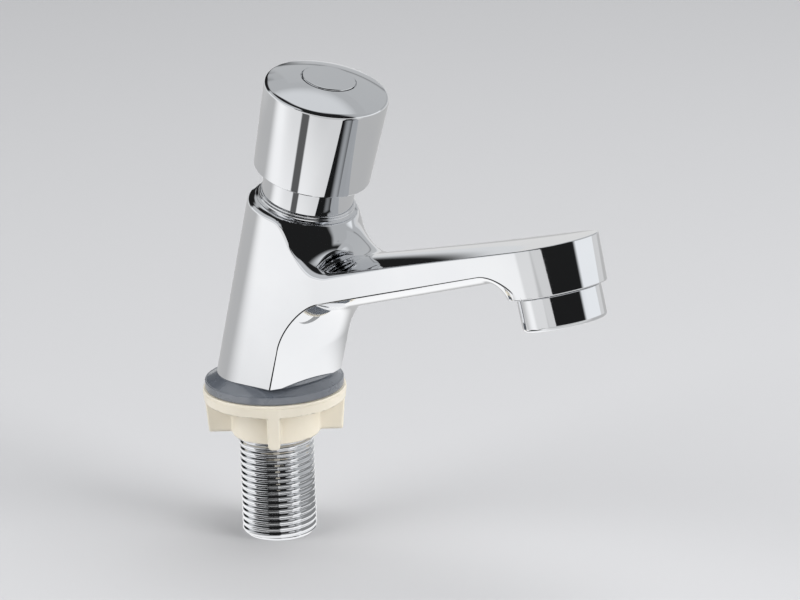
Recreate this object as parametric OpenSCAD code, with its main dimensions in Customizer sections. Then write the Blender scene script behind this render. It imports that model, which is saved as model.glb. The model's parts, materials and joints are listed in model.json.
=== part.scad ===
// Push timed basin tap: leaning cast body with a rising spout, sprung push cap,
// timing cartridge, screw-in aerator and a threaded tail fixed by a winged nut.
// Millimetres, +Z up, spout along +X. The origin is on the tail's axis at the deck.

/* [Tail and fixing] */
// Crest diameter of the connection thread (G 1/2)
shank_d = 20.955; // [18:0.005:26]
// How much smaller the crests are where the fixing nut sits
fix_relief = 0.4; // [0.35:0.05:0.8]
// Tail length below the deck
shank_len = 43; // [34:0.5:60]
// Pitch of the tail's thread
thread_pitch = 1.814; // [1:0.001:2.5]
// Depth of the tail's thread
thread_depth = 0.7; // [0.3:0.05:1.1]
// Chamfer at the tail's free end
shank_chamfer = 1.2; // [0.5:0.1:2]
// Length of tail screwed into the body
shank_grip = 8; // [5:0.5:9]
// Water passage through the tail
shank_bore_d = 14; // [10:0.5:15]
// Wider socket at the tail's free end
inlet_bore_d = 15; // [12:0.5:16]
// Depth of that socket
inlet_bore_len = 15; // [8:0.5:20]
// Base gasket diameter
gasket_d = 38.8; // [36:0.2:46]
// Height of the gasket's outer wall
gasket_h = 2.4; // [1.5:0.1:4]
// Rise of the gasket from its outer wall to the body
gasket_rise = 1.8; // [0.8:0.1:3]
// Fixing nut flange diameter
nut_d = 40; // [36:0.5:48]
// Slip washer thickness between the nut and the gasket
washer_h = 0.8; // [0.5:0.1:2]
// Nut flange thickness
nut_flange_h = 2.8; // [2:0.1:5]
// Length of the nut below its flange
nut_hub_h = 10; // [7:0.5:16]
// Nut hub diameter
nut_hub_d = 24.4; // [23:0.2:29]
// Number of nut wings
nut_wings = 4; // [2:1:6]
// Nut wing thickness
wing_t = 3.6; // [2.5:0.1:5]
// Diameter over the nut wings
wing_span = 37.6; // [32:0.2:40]
// How far the wings end above the nut's lower face
wing_lift = 0.4; // [0.2:0.1:2]
// Height of the inlet strainer in the tail
strainer_h = 8; // [4:0.5:12]

/* [Body] */
// Forward lean of the body and the push cap
lean = 16.35; // [10:0.5:20]
// How far behind the tail the cap's axis meets the deck
axis_back = 0.9; // [0:0.1:2]
// Diameter of the round column
column_d = 30.6; // [30:0.1:36]
// How far the column's centre lies behind the cap's axis
column_shift = 0.8; // [0:0.1:1.2]
// Depth of the front panel's edges from the cap's axis
panel_x = 12; // [11.8:0.1:14]
// Width of the front panel
panel_w = 27.4; // [26:0.2:29]
// Bulge of the front panel across its width
panel_bulge = 3.2; // [0.4:0.4:4]
// Length of the body along its lean, deck to top face
body_len = 58.3; // [56:0.1:64]
// Rounded top edge of the column
top_round = 1.2; // [0.5:0.1:1.6]
// Fillet between the front panel and the spout
chin_r = 16; // [8:0.5:20]
// Fillet between the column and the top of the spout
saddle_r = 5.5; // [3:0.5:6]
// Width of that fillet
saddle_w = 17; // [12:0.5:22]

/* [Spout] */
// Horizontal reach from the tail to the aerator
reach = 110.3; // [100:0.5:140]
// Height of the aerator's mouth above the deck
outlet_h = 39.6; // [36:0.5:46]
// Slope of the spout and of the outlet
rise = 15.4; // [12:0.5:18]
// Diameter of the outlet end
boss_d = 26.2; // [25.5:0.1:28]
// Depth of the outlet end, from its rim to its top
boss_h = 12.5; // [11.5:0.1:15]
// Side height of the spout at its root
side_root = 7.7; // [6:0.1:9]
// Side height of the spout at the outlet
side_tip = 5; // [4:0.1:6]
// Bulge of the underside across the width
belly = 3.4; // [2:0.1:4.5]
// Bulge of the top across the width at the root
crown = 3; // [1:0.1:4]
// Fillet behind the outlet end
heel_r = 6; // [3:0.5:8]
// Width of that fillet
heel_w = 18.4; // [12:0.2:22]
// Water passage through the spout
channel_d = 4.4; // [3:0.2:5]

/* [Push cap] */
// Diameter of the cap at its top edge
cap_top_d = 34; // [33:0.2:38]
// Diameter of the cap at its lower edge
cap_low_d = 31.8; // [31:0.2:34]
// Height of the cap
cap_h = 32.2; // [28:0.2:40]
// Rounding of the cap's lower edge
cap_round = 4.2; // [2:0.1:4.6]
// Radius of the domed top
dome_r = 38; // [34:1:60]
// Diameter of the inset disc
disc_d = 15; // [12:0.2:18]
// Thickness of the inset disc
disc_t = 1.2; // [0.8:0.1:2]
// Neck diameter below the cap
neck_d = 25.2; // [24.6:0.1:26]
// Wall of the neck
neck_wall = 2; // [1.4:0.1:2.4]
// Push travel
travel = 2.7; // [1.5:0.1:4]
// Height of the collar ring round the neck
collar_h = 2; // [1:0.1:2.6]
// Width of the collar ring
collar_w = 0.7; // [0.4:0.05:0.9]
// Height of the collar ring's wide step
collar_step_h = 1.1; // [0.4:0.1:1.6]

/* [Cartridge] */
// Bore of the body's valve chamber
chamber_d = 20.8; // [19.6:0.1:21.2]
// Bore of the inlet chamber below the seat
inlet_room_d = 16.8; // [16:0.1:18]
// Water hole through the seat
seat_hole_d = 9.2; // [7:0.1:10]
// Seat insert thickness
seat_t = 3.2; // [2:0.1:4]
// Height of the seat's sealing lip
lip_h = 0.6; // [0.3:0.1:1.2]
// Room for the valve between the tail and the seat
valve_room = 12.3; // [11.5:0.1:15]
// Stem diameter
stem_d = 4.8; // [4:0.1:5.2]
// Valve washer diameter
washer_d = 14; // [13:0.1:14.4]
// Valve washer thickness
washer_t = 2.5; // [1.5:0.1:3]
// Floor of the washer cup
cup_t = 2.4; // [1.5:0.1:3]
// Inner diameter of the timing sleeve
sleeve_bore_d = 16.8; // [16:0.1:17.4]
// Distance from the stop clip down to the piston
piston_drop = 4.4; // [3:0.1:5]
// Piston height
piston_h = 4; // [3.4:0.1:5]
// Bonnet thread diameter
bonnet_d = 23.2; // [22.8:0.1:23.6]
// Length of the bonnet's thread
skirt_len = 8; // [6:0.2:10]
// Thickness of the bonnet's floor
floor_t = 3; // [2.6:0.1:4]
// Return spring wire
wire_d = 1.4; // [0.8:0.1:1.6]
// Return spring mean diameter
spring_d = 16.4; // [14:0.1:17]
// Return spring turns
spring_turns = 8; // [5:1:10]

/* [Aerator] */
// Diameter of the aerator ring
ring_d = 22; // [21:0.1:24]
// Height of the aerator ring
ring_h = 8.6; // [7:0.1:10]
// Groove between the aerator ring and the outlet end
ring_groove = 0.3; // [0.1:0.05:0.6]
// Depth of the aerator's seat in the outlet end
aerator_depth = 6.7; // [5:0.1:7.2]
// Aerator thread diameter
aerator_thread_d = 20; // [19.4:0.1:20.6]
// Bore of the aerator
aerator_bore_d = 17.4; // [16:0.1:17.8]
// Thickness of the aerator gasket
aerator_gasket_t = 1.4; // [1:0.1:1.6]
// Fins across the outlet grille
grille_fins = 7; // [3:1:9]

/* [Hidden] */
$fn = 96;

// Clearances: pieces fixed together, pieces that run, and free space
fit = 0.02;
run = 0.05;
slack = 0.4;
// Overlap used inside one solid so that its parts join, and a length past every surface
join = 2;
far = 200;
chrome_tint = [0.82, 0.83, 0.85];
brass_tint = [0.78, 0.62, 0.32];
rubber_tint = [0.16, 0.16, 0.17];
plastic_tint = [0.9, 0.9, 0.88];

// Tail levels
gasket_step = 1;
base_z = gasket_h + gasket_rise;
shank_fix_d = shank_d - fix_relief;
shank_top = base_z + shank_grip;
nut_low = -washer_h - nut_flange_h - nut_hub_h;
thread_low = -shank_len + shank_chamfer;
flange_low = -washer_h - nut_flange_h;
flange_taper = 0.8;
nut_bore_r = shank_d / 2 + run;
strainer_lift = 14;
strainer_wall = 1.2;
strainer_high = -shank_len + inlet_bore_len + strainer_lift;
strainer_low = strainer_high - strainer_h;

// Levels along the leaning axis, from the valve up to the cap
seat_s = shank_top / cos(lean) + valve_room;
seat_top = seat_s + seat_t;
lip_s = seat_s - lip_h;
washer_top = lip_s - run;
cup_top = washer_top - washer_t;
cup_low = cup_top - cup_t;
cup_rim = 1.2;
cup_wall = 0.8;
stem_nut_h = 2.2;
stem_nut_wall = 1.7;
stem_tail = 0.5;
stem_low = cup_low - stem_nut_h - stem_tail;
room_low = stem_low - travel - slack;
lip_w = 1;
floor_sink = 2;
floor_low = body_len - floor_sink;
floor_top = floor_low + floor_t;
clip_t = 0.8;
clip_w = 1.8;
clip_groove_r = stem_d / 2 - 0.5;
clip_top = floor_low - run;
sleeve_top = floor_low - fit;
sleeve_floor = 2;
piston_gap = 0.8;
piston_low = clip_top - clip_t - piston_drop - piston_h;
piston_r = sleeve_bore_d / 2 - 0.3;
seal_h = 1.6;
seal_depth = 1;
seal_low = piston_low + (piston_h - seal_h) / 2;
sleeve_low = piston_low - travel - piston_gap - sleeve_floor;
sleeve_r = chamber_d / 2 - fit;
groove_low = sleeve_low + sleeve_floor;
groove_h = 1.6;
groove_depth = 1;
gland_h = 1.2;
gland_s = floor_low + floor_t / 2;
ledge_h = 1.1;
ledge_r = neck_d / 2 - 0.1;
collar_top = body_len + collar_h;
cap_low = collar_top + travel + slack;
cap_top = cap_low + cap_h;
head_h = 2.4;
head_d = 6.4;
web_t = 2.4;
ceiling = cap_top - disc_t - fit - head_h - run - web_t;
boss_len = 8;
boss_wall = 2.6;
neck_gap = 10;
neck_top = ceiling - travel - neck_gap;
cap_bore_r = neck_d / 2 + slack;
screw_r = 1.5;
screw_len = 8;
socket_r = 1.5;
socket_depth = 1.2;
disc_gap = 0.12;
edge_drop = 3;

// Return spring between the bonnet's floor and the cap
spring_low = floor_top + wire_d / 2 + fit;
spring_high = ceiling - wire_d / 2 - fit;
spring_pitch = (spring_high - spring_low) / spring_turns;
spring_steps = 12;
spring_sides = 6;
spring_rings = spring_turns * spring_steps;

// Outlet levels above the aerator's mouth
rim_z = ring_h + ring_groove;
top_z = rim_z + boss_h;
ledge_z = rim_z + aerator_depth;
housing_top = ledge_z - aerator_gasket_t - fit;
outlet_room_d = 14;
outlet_wall = 2.4;
outlet_room_top = top_z - outlet_wall;
channel_z = ledge_z + channel_d / 2 + run;
ring_edge = 1;
mouth_t = 0.8;
mouth_w = 0.7;
grille_t = 2.5;
mesh_t = 0.5;
regulator_t = 2.5;
insert_r = aerator_bore_d / 2 - fit;
grille_low = mouth_t + fit;
mesh_low = grille_low + grille_t + fit;
mixer_low = mesh_low + mesh_t + fit;
regulator_low = housing_top - regulator_t;
mixer_h = regulator_low - mixer_low - fit;

// Spout lines in the outlet's frame: where the leaning axis crosses the spout, and its root
root_z = top_z - side_root / 2;
root_s = (root_z + outlet_h * cos(rise) - (reach + axis_back) * sin(rise)) / cos(lean + rise);
axis_x = (root_s * sin(lean) - axis_back - reach) * cos(rise)
    + (root_s * cos(lean) - outlet_h) * sin(rise);
root_x = axis_x + column_d / 2;
block_x = axis_x + join;
tip_x = -boss_d / 2;
side_tilt = atan((side_root - side_tip) / (tip_x - root_x));
crown_tilt = atan(crown / (boss_d / 2 - root_x));
half_root = panel_w / 2;
half_tip = boss_d / 2;

// A circle's radius from half a chord and its rise
function arc_r(half, sag) = (half * half + sag * sag) / (2 * sag);
// A point of the outlet's frame, as X and Z
function outlet_xz(x, z) = [reach + x * cos(rise) - z * sin(rise),
    outlet_h + x * sin(rise) + z * cos(rise)];
// A point of the leaning frame, as X and Z
function lean_xz(x, s) = [-axis_back + x * cos(lean) + s * sin(lean),
    -x * sin(lean) + s * cos(lean)];
// Where two lines meet, each from a point and an angle
function meet(p, a, q, b) = let (d = q - p, k = (d[0] * sin(b) - d[1] * cos(b)) / sin(b - a))
    p + k * [cos(a), sin(a)];

module lean_frame() {
    translate([-axis_back, 0, 0]) rotate([0, lean, 0]) children();
}

module outlet_frame() {
    translate([reach, 0, outlet_h]) rotate([0, -rise, 0]) children();
}

// A ring about Z between two levels
module ring(r_in, r_out, low, high) {
    translate([0, 0, low]) difference() {
        cylinder(r = r_out, h = high - low);
        translate([0, 0, -join]) cylinder(r = r_in, h = high - low + 2 * join);
    }
}

// A rod about Z between two levels
module rod(r, low, high) {
    translate([0, 0, low]) cylinder(r = r, h = high - low);
}

// A ring with a round section
module oring(r_mid, r_wire, s) {
    translate([0, 0, s]) rotate_extrude() translate([r_mid, 0]) circle(r = r_wire, $fn = 32);
}

// The fill of an inside corner, drawn in X and Z and spread along Y
module corner_fill(corner, a, b, r, width) {
    half = (a - b) / 2;
    mid = (a + b) / 2;
    inward = [cos(mid), sin(mid)];
    tangent = r / tan(half);
    centre = corner + inward * r / sin(half);
    rotate([90, 0, 0]) linear_extrude(height = width, center = true) difference() {
        polygon([corner - join * inward, corner + tangent * [cos(a), sin(a)], centre,
            corner + tangent * [cos(b), sin(b)]]);
        translate(centre) circle(r = r);
    }
}

// Body

// Plan of the spout seen along the outlet's axis
module spout_plan() {
    circle(r = half_tip);
    polygon([[block_x, -half_root], [0, -half_tip], [0, half_tip], [block_x, half_root]]);
}

module spout() {
    belly_r = arc_r(half_root, belly);
    crown_r = arc_r(half_root, crown);
    intersection() {
        outlet_frame() translate([0, 0, rim_z]) linear_extrude(height = boss_h) spout_plan();
        outlet_frame() translate([root_x, 0, top_z - side_root - belly + belly_r])
            rotate([0, 90 - side_tilt, 0]) cylinder(r = belly_r, h = 2 * far, center = true, $fn = 180);
    }
    intersection() {
        outlet_frame() translate([0, 0, top_z - join / 4])
            linear_extrude(height = crown + join) spout_plan();
        outlet_frame() translate([root_x, 0, top_z + crown - crown_r])
            rotate([0, 90 + crown_tilt, 0]) cylinder(r = crown_r, h = 2 * far, center = true, $fn = 180);
    }
    outlet_frame() rod(half_tip, rim_z, top_z);
}

// Round column with a bulged front panel, drawn square to the lean
module column_plan() {
    column_r = column_d / 2;
    side = (column_r - half_root) / panel_x;
    panel_r = arc_r(half_root, panel_bulge);
    front_x = panel_x + panel_bulge;
    back_w = column_r * cos(atan(side));
    front_w = half_root - (back_w - half_root) * panel_bulge / panel_x;
    translate([-column_shift, 0]) circle(r = column_r);
    intersection() {
        polygon([[0, -back_w], [front_x, -front_w], [front_x, front_w], [0, back_w]]);
        translate([front_x - panel_r, 0]) circle(r = panel_r);
    }
}

module column() {
    column_r = column_d / 2;
    intersection() {
        lean_frame() translate([0, 0, -column_r])
            linear_extrude(height = column_r + body_len - top_round) column_plan();
        outlet_frame() translate([-2 * far, -far, -far]) cube([3 * far, 2 * far, far + top_z]);
    }
    lean_frame() translate([-column_shift, 0, 0]) {
        rod(column_r, 0, body_len - top_round);
        rod(column_r - top_round, 0, body_len);
        oring(column_r - top_round, top_round, body_len - top_round);
    }
}

module body_fills() {
    crease = outlet_xz(root_x, top_z - side_root);
    crest = outlet_xz(root_x, top_z + crown);
    panel_angle = 270 - lean;
    chin = meet(lean_xz(panel_x, 0), panel_angle, crease, rise + side_tilt);
    saddle = meet(lean_xz(column_d / 2 - column_shift, 0), 90 - lean, crest, rise - crown_tilt);
    heel_z = top_z - side_tip - belly;
    heel_x = tip_x - heel_r;
    intersection() {
        corner_fill(chin, 360 + rise + side_tilt, panel_angle, chin_r, panel_w + join);
        outlet_frame() translate([0, 0, -far]) linear_extrude(height = far + top_z) spout_plan();
    }
    corner_fill(saddle, 90 - lean, rise - crown_tilt, saddle_r, saddle_w);
    outlet_frame() difference() {
        translate([heel_x, -heel_w / 2, rim_z])
            cube([heel_r - tip_x / 2, heel_w, heel_z - rim_z + join / 2]);
        translate([heel_x, 0, heel_z - heel_r]) rotate([90, 0, 0])
            cylinder(r = heel_r, h = boss_d, center = true);
    }
}

module body_hollows() {
    translate([-far, -far, base_z - far]) cube([far + reach / 2, 2 * far, far]);
    rod(shank_fix_d / 2 + fit, 0, shank_top + fit);
    lean_frame() {
        rod(inlet_room_d / 2, room_low, seat_s + join);
        rod(chamber_d / 2, seat_s, body_len + join);
        rod(bonnet_d / 2, body_len - skirt_len - slack, body_len + join);
        rod(ledge_r, body_len - ledge_h, body_len + join);
    }
    outlet_frame() {
        rod(aerator_thread_d / 2, rim_z - join, ledge_z);
        rod(outlet_room_d / 2, ledge_z - join, outlet_room_top);
        translate([block_x + chamber_d / 4, 0, channel_z]) rotate([0, 90, 0])
            cylinder(d = channel_d, h = -block_x - chamber_d / 4 - outlet_room_d / 4);
    }
}

module tap_body() {
    color(chrome_tint) difference() {
        union() {
            column();
            spout();
            body_fills();
        }
        body_hollows();
    }
}

// Tail and fixing

module shank() {
    rings = floor((nut_low - thread_pitch - thread_low) / thread_pitch);
    r = shank_d / 2;
    over = 1;
    color(chrome_tint) difference() {
        union() {
            rod(shank_fix_d / 2, nut_low, shank_top);
            rod(r, thread_low, nut_low);
            translate([0, 0, -shank_len]) cylinder(r1 = r - shank_chamfer, r2 = r, h = shank_chamfer);
        }
        for (i = [1 : rings])
            translate([0, 0, nut_low - i * thread_pitch]) rotate_extrude()
                polygon([[r + over, -thread_pitch / 4 - over], [r - thread_depth, 0],
                    [r + over, thread_pitch / 4 + over]]);
        rod(shank_bore_d / 2, -shank_len - join, shank_top + join);
        rod(inlet_bore_d / 2, -shank_len - join, -shank_len + inlet_bore_len);
    }
}

module base_gasket() {
    color(rubber_tint) difference() {
        union() {
            rod(gasket_d / 2, 0, gasket_h);
            translate([0, 0, gasket_h])
                cylinder(d1 = gasket_d - gasket_step, d2 = column_d, h = gasket_rise);
        }
        rod(shank_fix_d / 2 + fit, -join, base_z + join);
    }
}

module slip_washer() {
    color(plastic_tint) ring(nut_bore_r, nut_d / 2, -washer_h, -fit);
}

// End view of a wing, with its lower corners cut
module wing_outline(high) {
    half = wing_t / 2;
    cut = wing_t / 4;
    low = nut_low + wing_lift;
    polygon([[-half, high], [-half, low + cut], [-half + cut, low], [half - cut, low],
        [half, low + cut], [half, high]]);
}

module fixing_nut() {
    color([0.93, 0.91, 0.86]) difference() {
        union() {
            translate([0, 0, flange_low])
                cylinder(d1 = nut_d - flange_taper, d2 = nut_d, h = nut_flange_h - fit);
            rod(nut_hub_d / 2, nut_low, flange_low + join / 2);
            for (i = [0 : nut_wings - 1])
                rotate([90, 0, 135 + i * 360 / nut_wings]) linear_extrude(height = wing_span / 2)
                    wing_outline(flange_low + join / 2);
        }
        rod(nut_bore_r, nut_low - join, join);
    }
}

module strainer_rim() {
    outer = shank_bore_d / 2 - fit;
    color(plastic_tint) ring(outer - strainer_wall, outer, strainer_low, strainer_high);
}

module strainer_mesh() {
    mesh_r = shank_bore_d / 2 - strainer_wall - 2 * fit;
    plate_t = 0.6;
    rim = 1;
    step = 1.5;
    hole = 0.9;
    rows = floor((mesh_r - rim) / step);
    color([0.7, 0.7, 0.72]) translate([0, 0, strainer_high - slack - plate_t]) difference() {
        rod(mesh_r, 0, plate_t);
        for (i = [-rows : rows], j = [-rows : rows])
            if (norm([i, j]) * step < mesh_r - rim)
                translate([i * step, j * step, 0]) cube([hole, hole, 2 * join], center = true);
    }
}

// Valve and cartridge

module valve_seat() {
    hole_r = seat_hole_d / 2;
    color(brass_tint) lean_frame() difference() {
        union() {
            rod(chamber_d / 2 - fit, seat_s, seat_top);
            rod(hole_r + lip_w, lip_s, seat_s + seat_t / 2);
        }
        rod(hole_r, lip_s - join, seat_top + join);
    }
}

module valve_washer() {
    color(rubber_tint) lean_frame() ring(stem_d / 2 + fit, washer_d / 2, cup_top, washer_top);
}

module washer_cup() {
    color(brass_tint) lean_frame() difference() {
        rod(washer_d / 2 + fit + cup_wall, cup_low, cup_top + cup_rim);
        rod(washer_d / 2 + fit, cup_top, cup_top + cup_rim + join);
        rod(stem_d / 2 + fit, cup_low - join, cup_top + join);
    }
}

module stem_nut() {
    color(brass_tint) lean_frame() difference() {
        translate([0, 0, cup_low - stem_nut_h])
            cylinder(r = stem_d / 2 + stem_nut_wall, h = stem_nut_h, $fn = 6);
        rod(stem_d / 2 + fit, cup_low - stem_nut_h - join, cup_low + join);
    }
}

module push_stem() {
    color([0.75, 0.76, 0.78]) lean_frame() difference() {
        rod(stem_d / 2, stem_low, ceiling - fit);
        rod(screw_r, ceiling - screw_len - slack, ceiling + join);
        ring(clip_groove_r, stem_d, clip_top - clip_t, clip_top);
    }
}

module stem_clip() {
    color([0.6, 0.6, 0.62]) lean_frame()
        ring(clip_groove_r + fit, stem_d / 2 + clip_w, clip_top - clip_t + fit, clip_top - fit);
}

module timing_sleeve() {
    drain_r = 0.5;
    drain_x = stem_d / 2 + 2;
    color([0.88, 0.89, 0.9]) lean_frame() difference() {
        rod(sleeve_r, sleeve_low, sleeve_top);
        rod(sleeve_bore_d / 2, sleeve_low + sleeve_floor, sleeve_top + join);
        rod(stem_d / 2 + run, sleeve_low - join, sleeve_top);
        ring(sleeve_r - groove_depth, sleeve_r + join, groove_low, groove_low + groove_h);
        for (a = [60, 180, 300])
            rotate([0, 0, a]) translate([drain_x, 0, sleeve_low - join])
                cylinder(r = drain_r, h = sleeve_floor + 2 * join, $fn = 24);
    }
}

module sleeve_oring() {
    wire_r = groove_depth / 2 - fit;
    mid_r = sleeve_r - groove_depth / 2;
    color(rubber_tint) lean_frame() oring(mid_r, wire_r, groove_low + groove_h / 2);
}

module timing_piston() {
    color([0.35, 0.36, 0.38]) lean_frame() difference() {
        rod(piston_r, piston_low, piston_low + piston_h);
        ring(piston_r - seal_depth, piston_r + join, seal_low, seal_low + seal_h);
        rod(stem_d / 2 + fit, piston_low - join, piston_low + piston_h + join);
    }
}

module piston_seal() {
    inner = piston_r - seal_depth + fit;
    outer = sleeve_bore_d / 2 - run;
    color(rubber_tint) lean_frame() ring(inner, outer, seal_low + fit, seal_low + seal_h - fit);
}

module bonnet() {
    color(chrome_tint) lean_frame() difference() {
        union() {
            rod(bonnet_d / 2 - fit, body_len - skirt_len, body_len);
            rod(neck_d / 2, body_len, neck_top);
        }
        rod(chamber_d / 2 + fit, body_len - skirt_len - join, floor_low);
        rod(neck_d / 2 - neck_wall, floor_top, neck_top + join);
        rod(stem_d / 2 + run, floor_low - join, floor_top + join);
        rod(stem_d / 2 + run + gland_h, gland_s - gland_h / 2, gland_s + gland_h / 2);
    }
}

module bonnet_seal() {
    color(rubber_tint) lean_frame()
        ring(bonnet_d / 2 + fit, ledge_r - fit, body_len - ledge_h, body_len - fit);
}

module stem_oring() {
    color(rubber_tint) lean_frame() oring(stem_d / 2 + run + gland_h / 2, gland_h / 2 - fit, gland_s);
}

module collar_ring() {
    inner = neck_d / 2 + fit;
    color(chrome_tint) lean_frame() {
        ring(inner, inner + collar_w, body_len + fit, body_len + collar_step_h);
        ring(inner, inner + collar_w / 2, body_len + fit, collar_top);
    }
}

// Return spring: a wire swept along a helix, with closed ends
function spring_point(t) = [spring_d / 2 * cos(360 * t), spring_d / 2 * sin(360 * t),
    spring_low + spring_pitch * t];
function wire_ring(t) = [for (k = [0 : spring_sides - 1]) let (a = 360 * k / spring_sides,
    out = [cos(360 * t), sin(360 * t), 0])
    spring_point(t) + wire_d / 2 * (cos(a) * out + [0, 0, sin(a)])];
echo(spring_gap = spring_pitch - wire_d);

module return_spring() {
    points = [for (i = [0 : spring_rings]) each wire_ring(i / spring_steps)];
    last = spring_rings * spring_sides;
    sides = [for (i = [0 : spring_rings - 1], k = [0 : spring_sides - 1])
        let (a = i * spring_sides + k, b = i * spring_sides + (k + 1) % spring_sides)
        each [[a, b, a + spring_sides], [b, b + spring_sides, a + spring_sides]]];
    ends = [for (k = [1 : spring_sides - 2]) each [[0, k + 1, k], [last, last + k, last + k + 1]]];
    color([0.62, 0.63, 0.65]) lean_frame() polyhedron(points, concat(sides, ends));
}

// Push cap

// Outline of the cap above its rounded lower edge
module cap_outline() {
    low_r = cap_low_d / 2;
    round_s = cap_low + cap_round;
    polygon([[0, cap_low], [low_r - cap_round, cap_low], [low_r - cap_round, round_s],
        [low_r, round_s], [cap_top_d / 2, cap_top - edge_drop], [cap_top_d / 2, cap_top], [0, cap_top]]);
    translate([low_r - cap_round, round_s]) circle(r = cap_round);
}

module push_cap() {
    dome_s = cap_top - sqrt(dome_r * dome_r - disc_d * disc_d / 4);
    color(chrome_tint) lean_frame() difference() {
        intersection() {
            rotate_extrude() intersection() {
                cap_outline();
                square([cap_top_d, cap_top + join]);
            }
            translate([0, 0, dome_s]) sphere(r = dome_r, $fn = 180);
        }
        difference() {
            rod(cap_bore_r, cap_low - join, ceiling);
            rod(stem_d / 2 + boss_wall, ceiling - boss_len, ceiling + join);
        }
        rod(stem_d / 2 + fit, cap_low, ceiling);
        rod(screw_r + run, ceiling - join, cap_top);
        rod(head_d / 2 + slack, ceiling + web_t, cap_top);
        rod(disc_d / 2 + fit, cap_top - disc_t - fit, cap_top + join);
    }
}

module cap_screw() {
    head_low = ceiling + web_t;
    color([0.7, 0.7, 0.72]) lean_frame() difference() {
        union() {
            rod(head_d / 2, head_low, head_low + head_h);
            rod(screw_r - fit, ceiling - screw_len, head_low + head_h / 2);
        }
        translate([0, 0, head_low + head_h - socket_depth]) cylinder(r = socket_r, h = head_h, $fn = 6);
    }
}

module cap_disc() {
    color(chrome_tint) lean_frame() rod(disc_d / 2 - disc_gap, cap_top - disc_t, cap_top);
}

// Aerator

module aerator_housing() {
    outer_r = ring_d / 2;
    color(chrome_tint) outlet_frame() difference() {
        union() {
            rod(outer_r, ring_edge, ring_h);
            rod(outer_r - ring_edge, 0, ring_h);
            oring(outer_r - ring_edge, ring_edge, ring_edge);
            rod(aerator_thread_d / 2 - fit, ring_h - join / 2, housing_top);
        }
        rod(aerator_bore_d / 2, mouth_t, housing_top + join);
        rod(aerator_bore_d / 2 - mouth_w, -join, mouth_t + join);
    }
}

module aerator_gasket() {
    color(rubber_tint) outlet_frame()
        ring(outlet_room_d / 2, aerator_thread_d / 2 - fit, housing_top + fit, ledge_z);
}

module flow_regulator() {
    web = 1;
    core_r = 3;
    trough_w = 2.4;
    hole_r = 0.8;
    color([0.2, 0.45, 0.3]) outlet_frame() difference() {
        rod(insert_r, regulator_low, housing_top);
        ring(core_r, core_r + trough_w, regulator_low + web, housing_top + join);
        for (a = [0 : 45 : 315])
            rotate([0, 0, a]) translate([core_r + trough_w / 2, 0, regulator_low - join])
                cylinder(r = hole_r, h = regulator_t + 2 * join, $fn = 24);
    }
}

module aerator_mixer() {
    wall = 1;
    plate_t = 1.2;
    jet_r = 0.6;
    jet_x = insert_r - wall - 2;
    color(plastic_tint) outlet_frame() difference() {
        rod(insert_r, mixer_low, mixer_low + mixer_h);
        rod(insert_r - wall, mixer_low - join, mixer_low + mixer_h - plate_t);
        for (a = [0 : 30 : 330])
            rotate([0, 0, a]) translate([jet_x, 0, mixer_low])
                cylinder(r = jet_r, h = mixer_h + join, $fn = 24);
    }
}

module aerator_mesh() {
    step = 2;
    hole = 1.2;
    rim = 1.2;
    rows = floor((insert_r - rim) / step);
    color([0.72, 0.73, 0.75]) outlet_frame() difference() {
        rod(insert_r, mesh_low, mesh_low + mesh_t);
        for (i = [-rows : rows], j = [-rows : rows])
            if (norm([i, j]) * step < insert_r - rim)
                translate([i * step, j * step, mesh_low]) cube([hole, hole, 2 * join], center = true);
    }
}

module outlet_grille() {
    rim = 1;
    fin_t = 0.5;
    gap = 2 * insert_r / (grille_fins + 1);
    color(plastic_tint) outlet_frame() {
        ring(insert_r - rim, insert_r, grille_low, grille_low + grille_t);
        intersection() {
            rod(insert_r - rim / 2, grille_low, grille_low + grille_t);
            for (i = [1 : grille_fins], turn = [0, 90])
                rotate([0, 0, turn]) translate([-insert_r + i * gap - fin_t / 2, -insert_r, grille_low])
                    cube([fin_t, 2 * insert_r, grille_t]);
        }
    }
}

tap_body();
shank();
base_gasket();
slip_washer();
fixing_nut();
strainer_rim();
strainer_mesh();
valve_seat();
valve_washer();
washer_cup();
stem_nut();
push_stem();
timing_sleeve();
sleeve_oring();
timing_piston();
piston_seal();
stem_clip();
bonnet();
bonnet_seal();
stem_oring();
collar_ring();
return_spring();
push_cap();
cap_screw();
cap_disc();
aerator_housing();
aerator_gasket();
flow_regulator();
aerator_mixer();
aerator_mesh();
outlet_grille();
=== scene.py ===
"""Looks of the push timed basin tap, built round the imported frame.

Sizes are millimetres in the body's own frame: +Z up, the spout along +X, the tail's axis at the
origin. A mesh is turned into metres only when it becomes a piece.
"""

import json
import math

import bpy
import numpy as np
from mathutils import Matrix, Vector


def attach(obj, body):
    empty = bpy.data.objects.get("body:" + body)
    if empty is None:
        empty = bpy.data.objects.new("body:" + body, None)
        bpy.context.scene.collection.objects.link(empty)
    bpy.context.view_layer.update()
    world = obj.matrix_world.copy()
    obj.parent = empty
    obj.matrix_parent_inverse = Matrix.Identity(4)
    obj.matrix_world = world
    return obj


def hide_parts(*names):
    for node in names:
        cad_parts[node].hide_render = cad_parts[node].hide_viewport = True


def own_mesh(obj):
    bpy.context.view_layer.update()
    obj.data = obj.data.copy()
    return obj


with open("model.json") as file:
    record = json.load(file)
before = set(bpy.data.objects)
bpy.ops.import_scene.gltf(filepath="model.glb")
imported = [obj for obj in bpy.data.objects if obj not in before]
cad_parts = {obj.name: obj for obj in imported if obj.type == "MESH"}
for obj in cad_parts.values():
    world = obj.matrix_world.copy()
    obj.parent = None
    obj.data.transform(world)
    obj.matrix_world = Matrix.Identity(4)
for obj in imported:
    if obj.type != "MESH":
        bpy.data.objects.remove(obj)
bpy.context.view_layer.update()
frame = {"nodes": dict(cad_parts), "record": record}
MM = 0.001
# Gap between pieces that seat on each other
SEAT_GAP = 0.02

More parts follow.
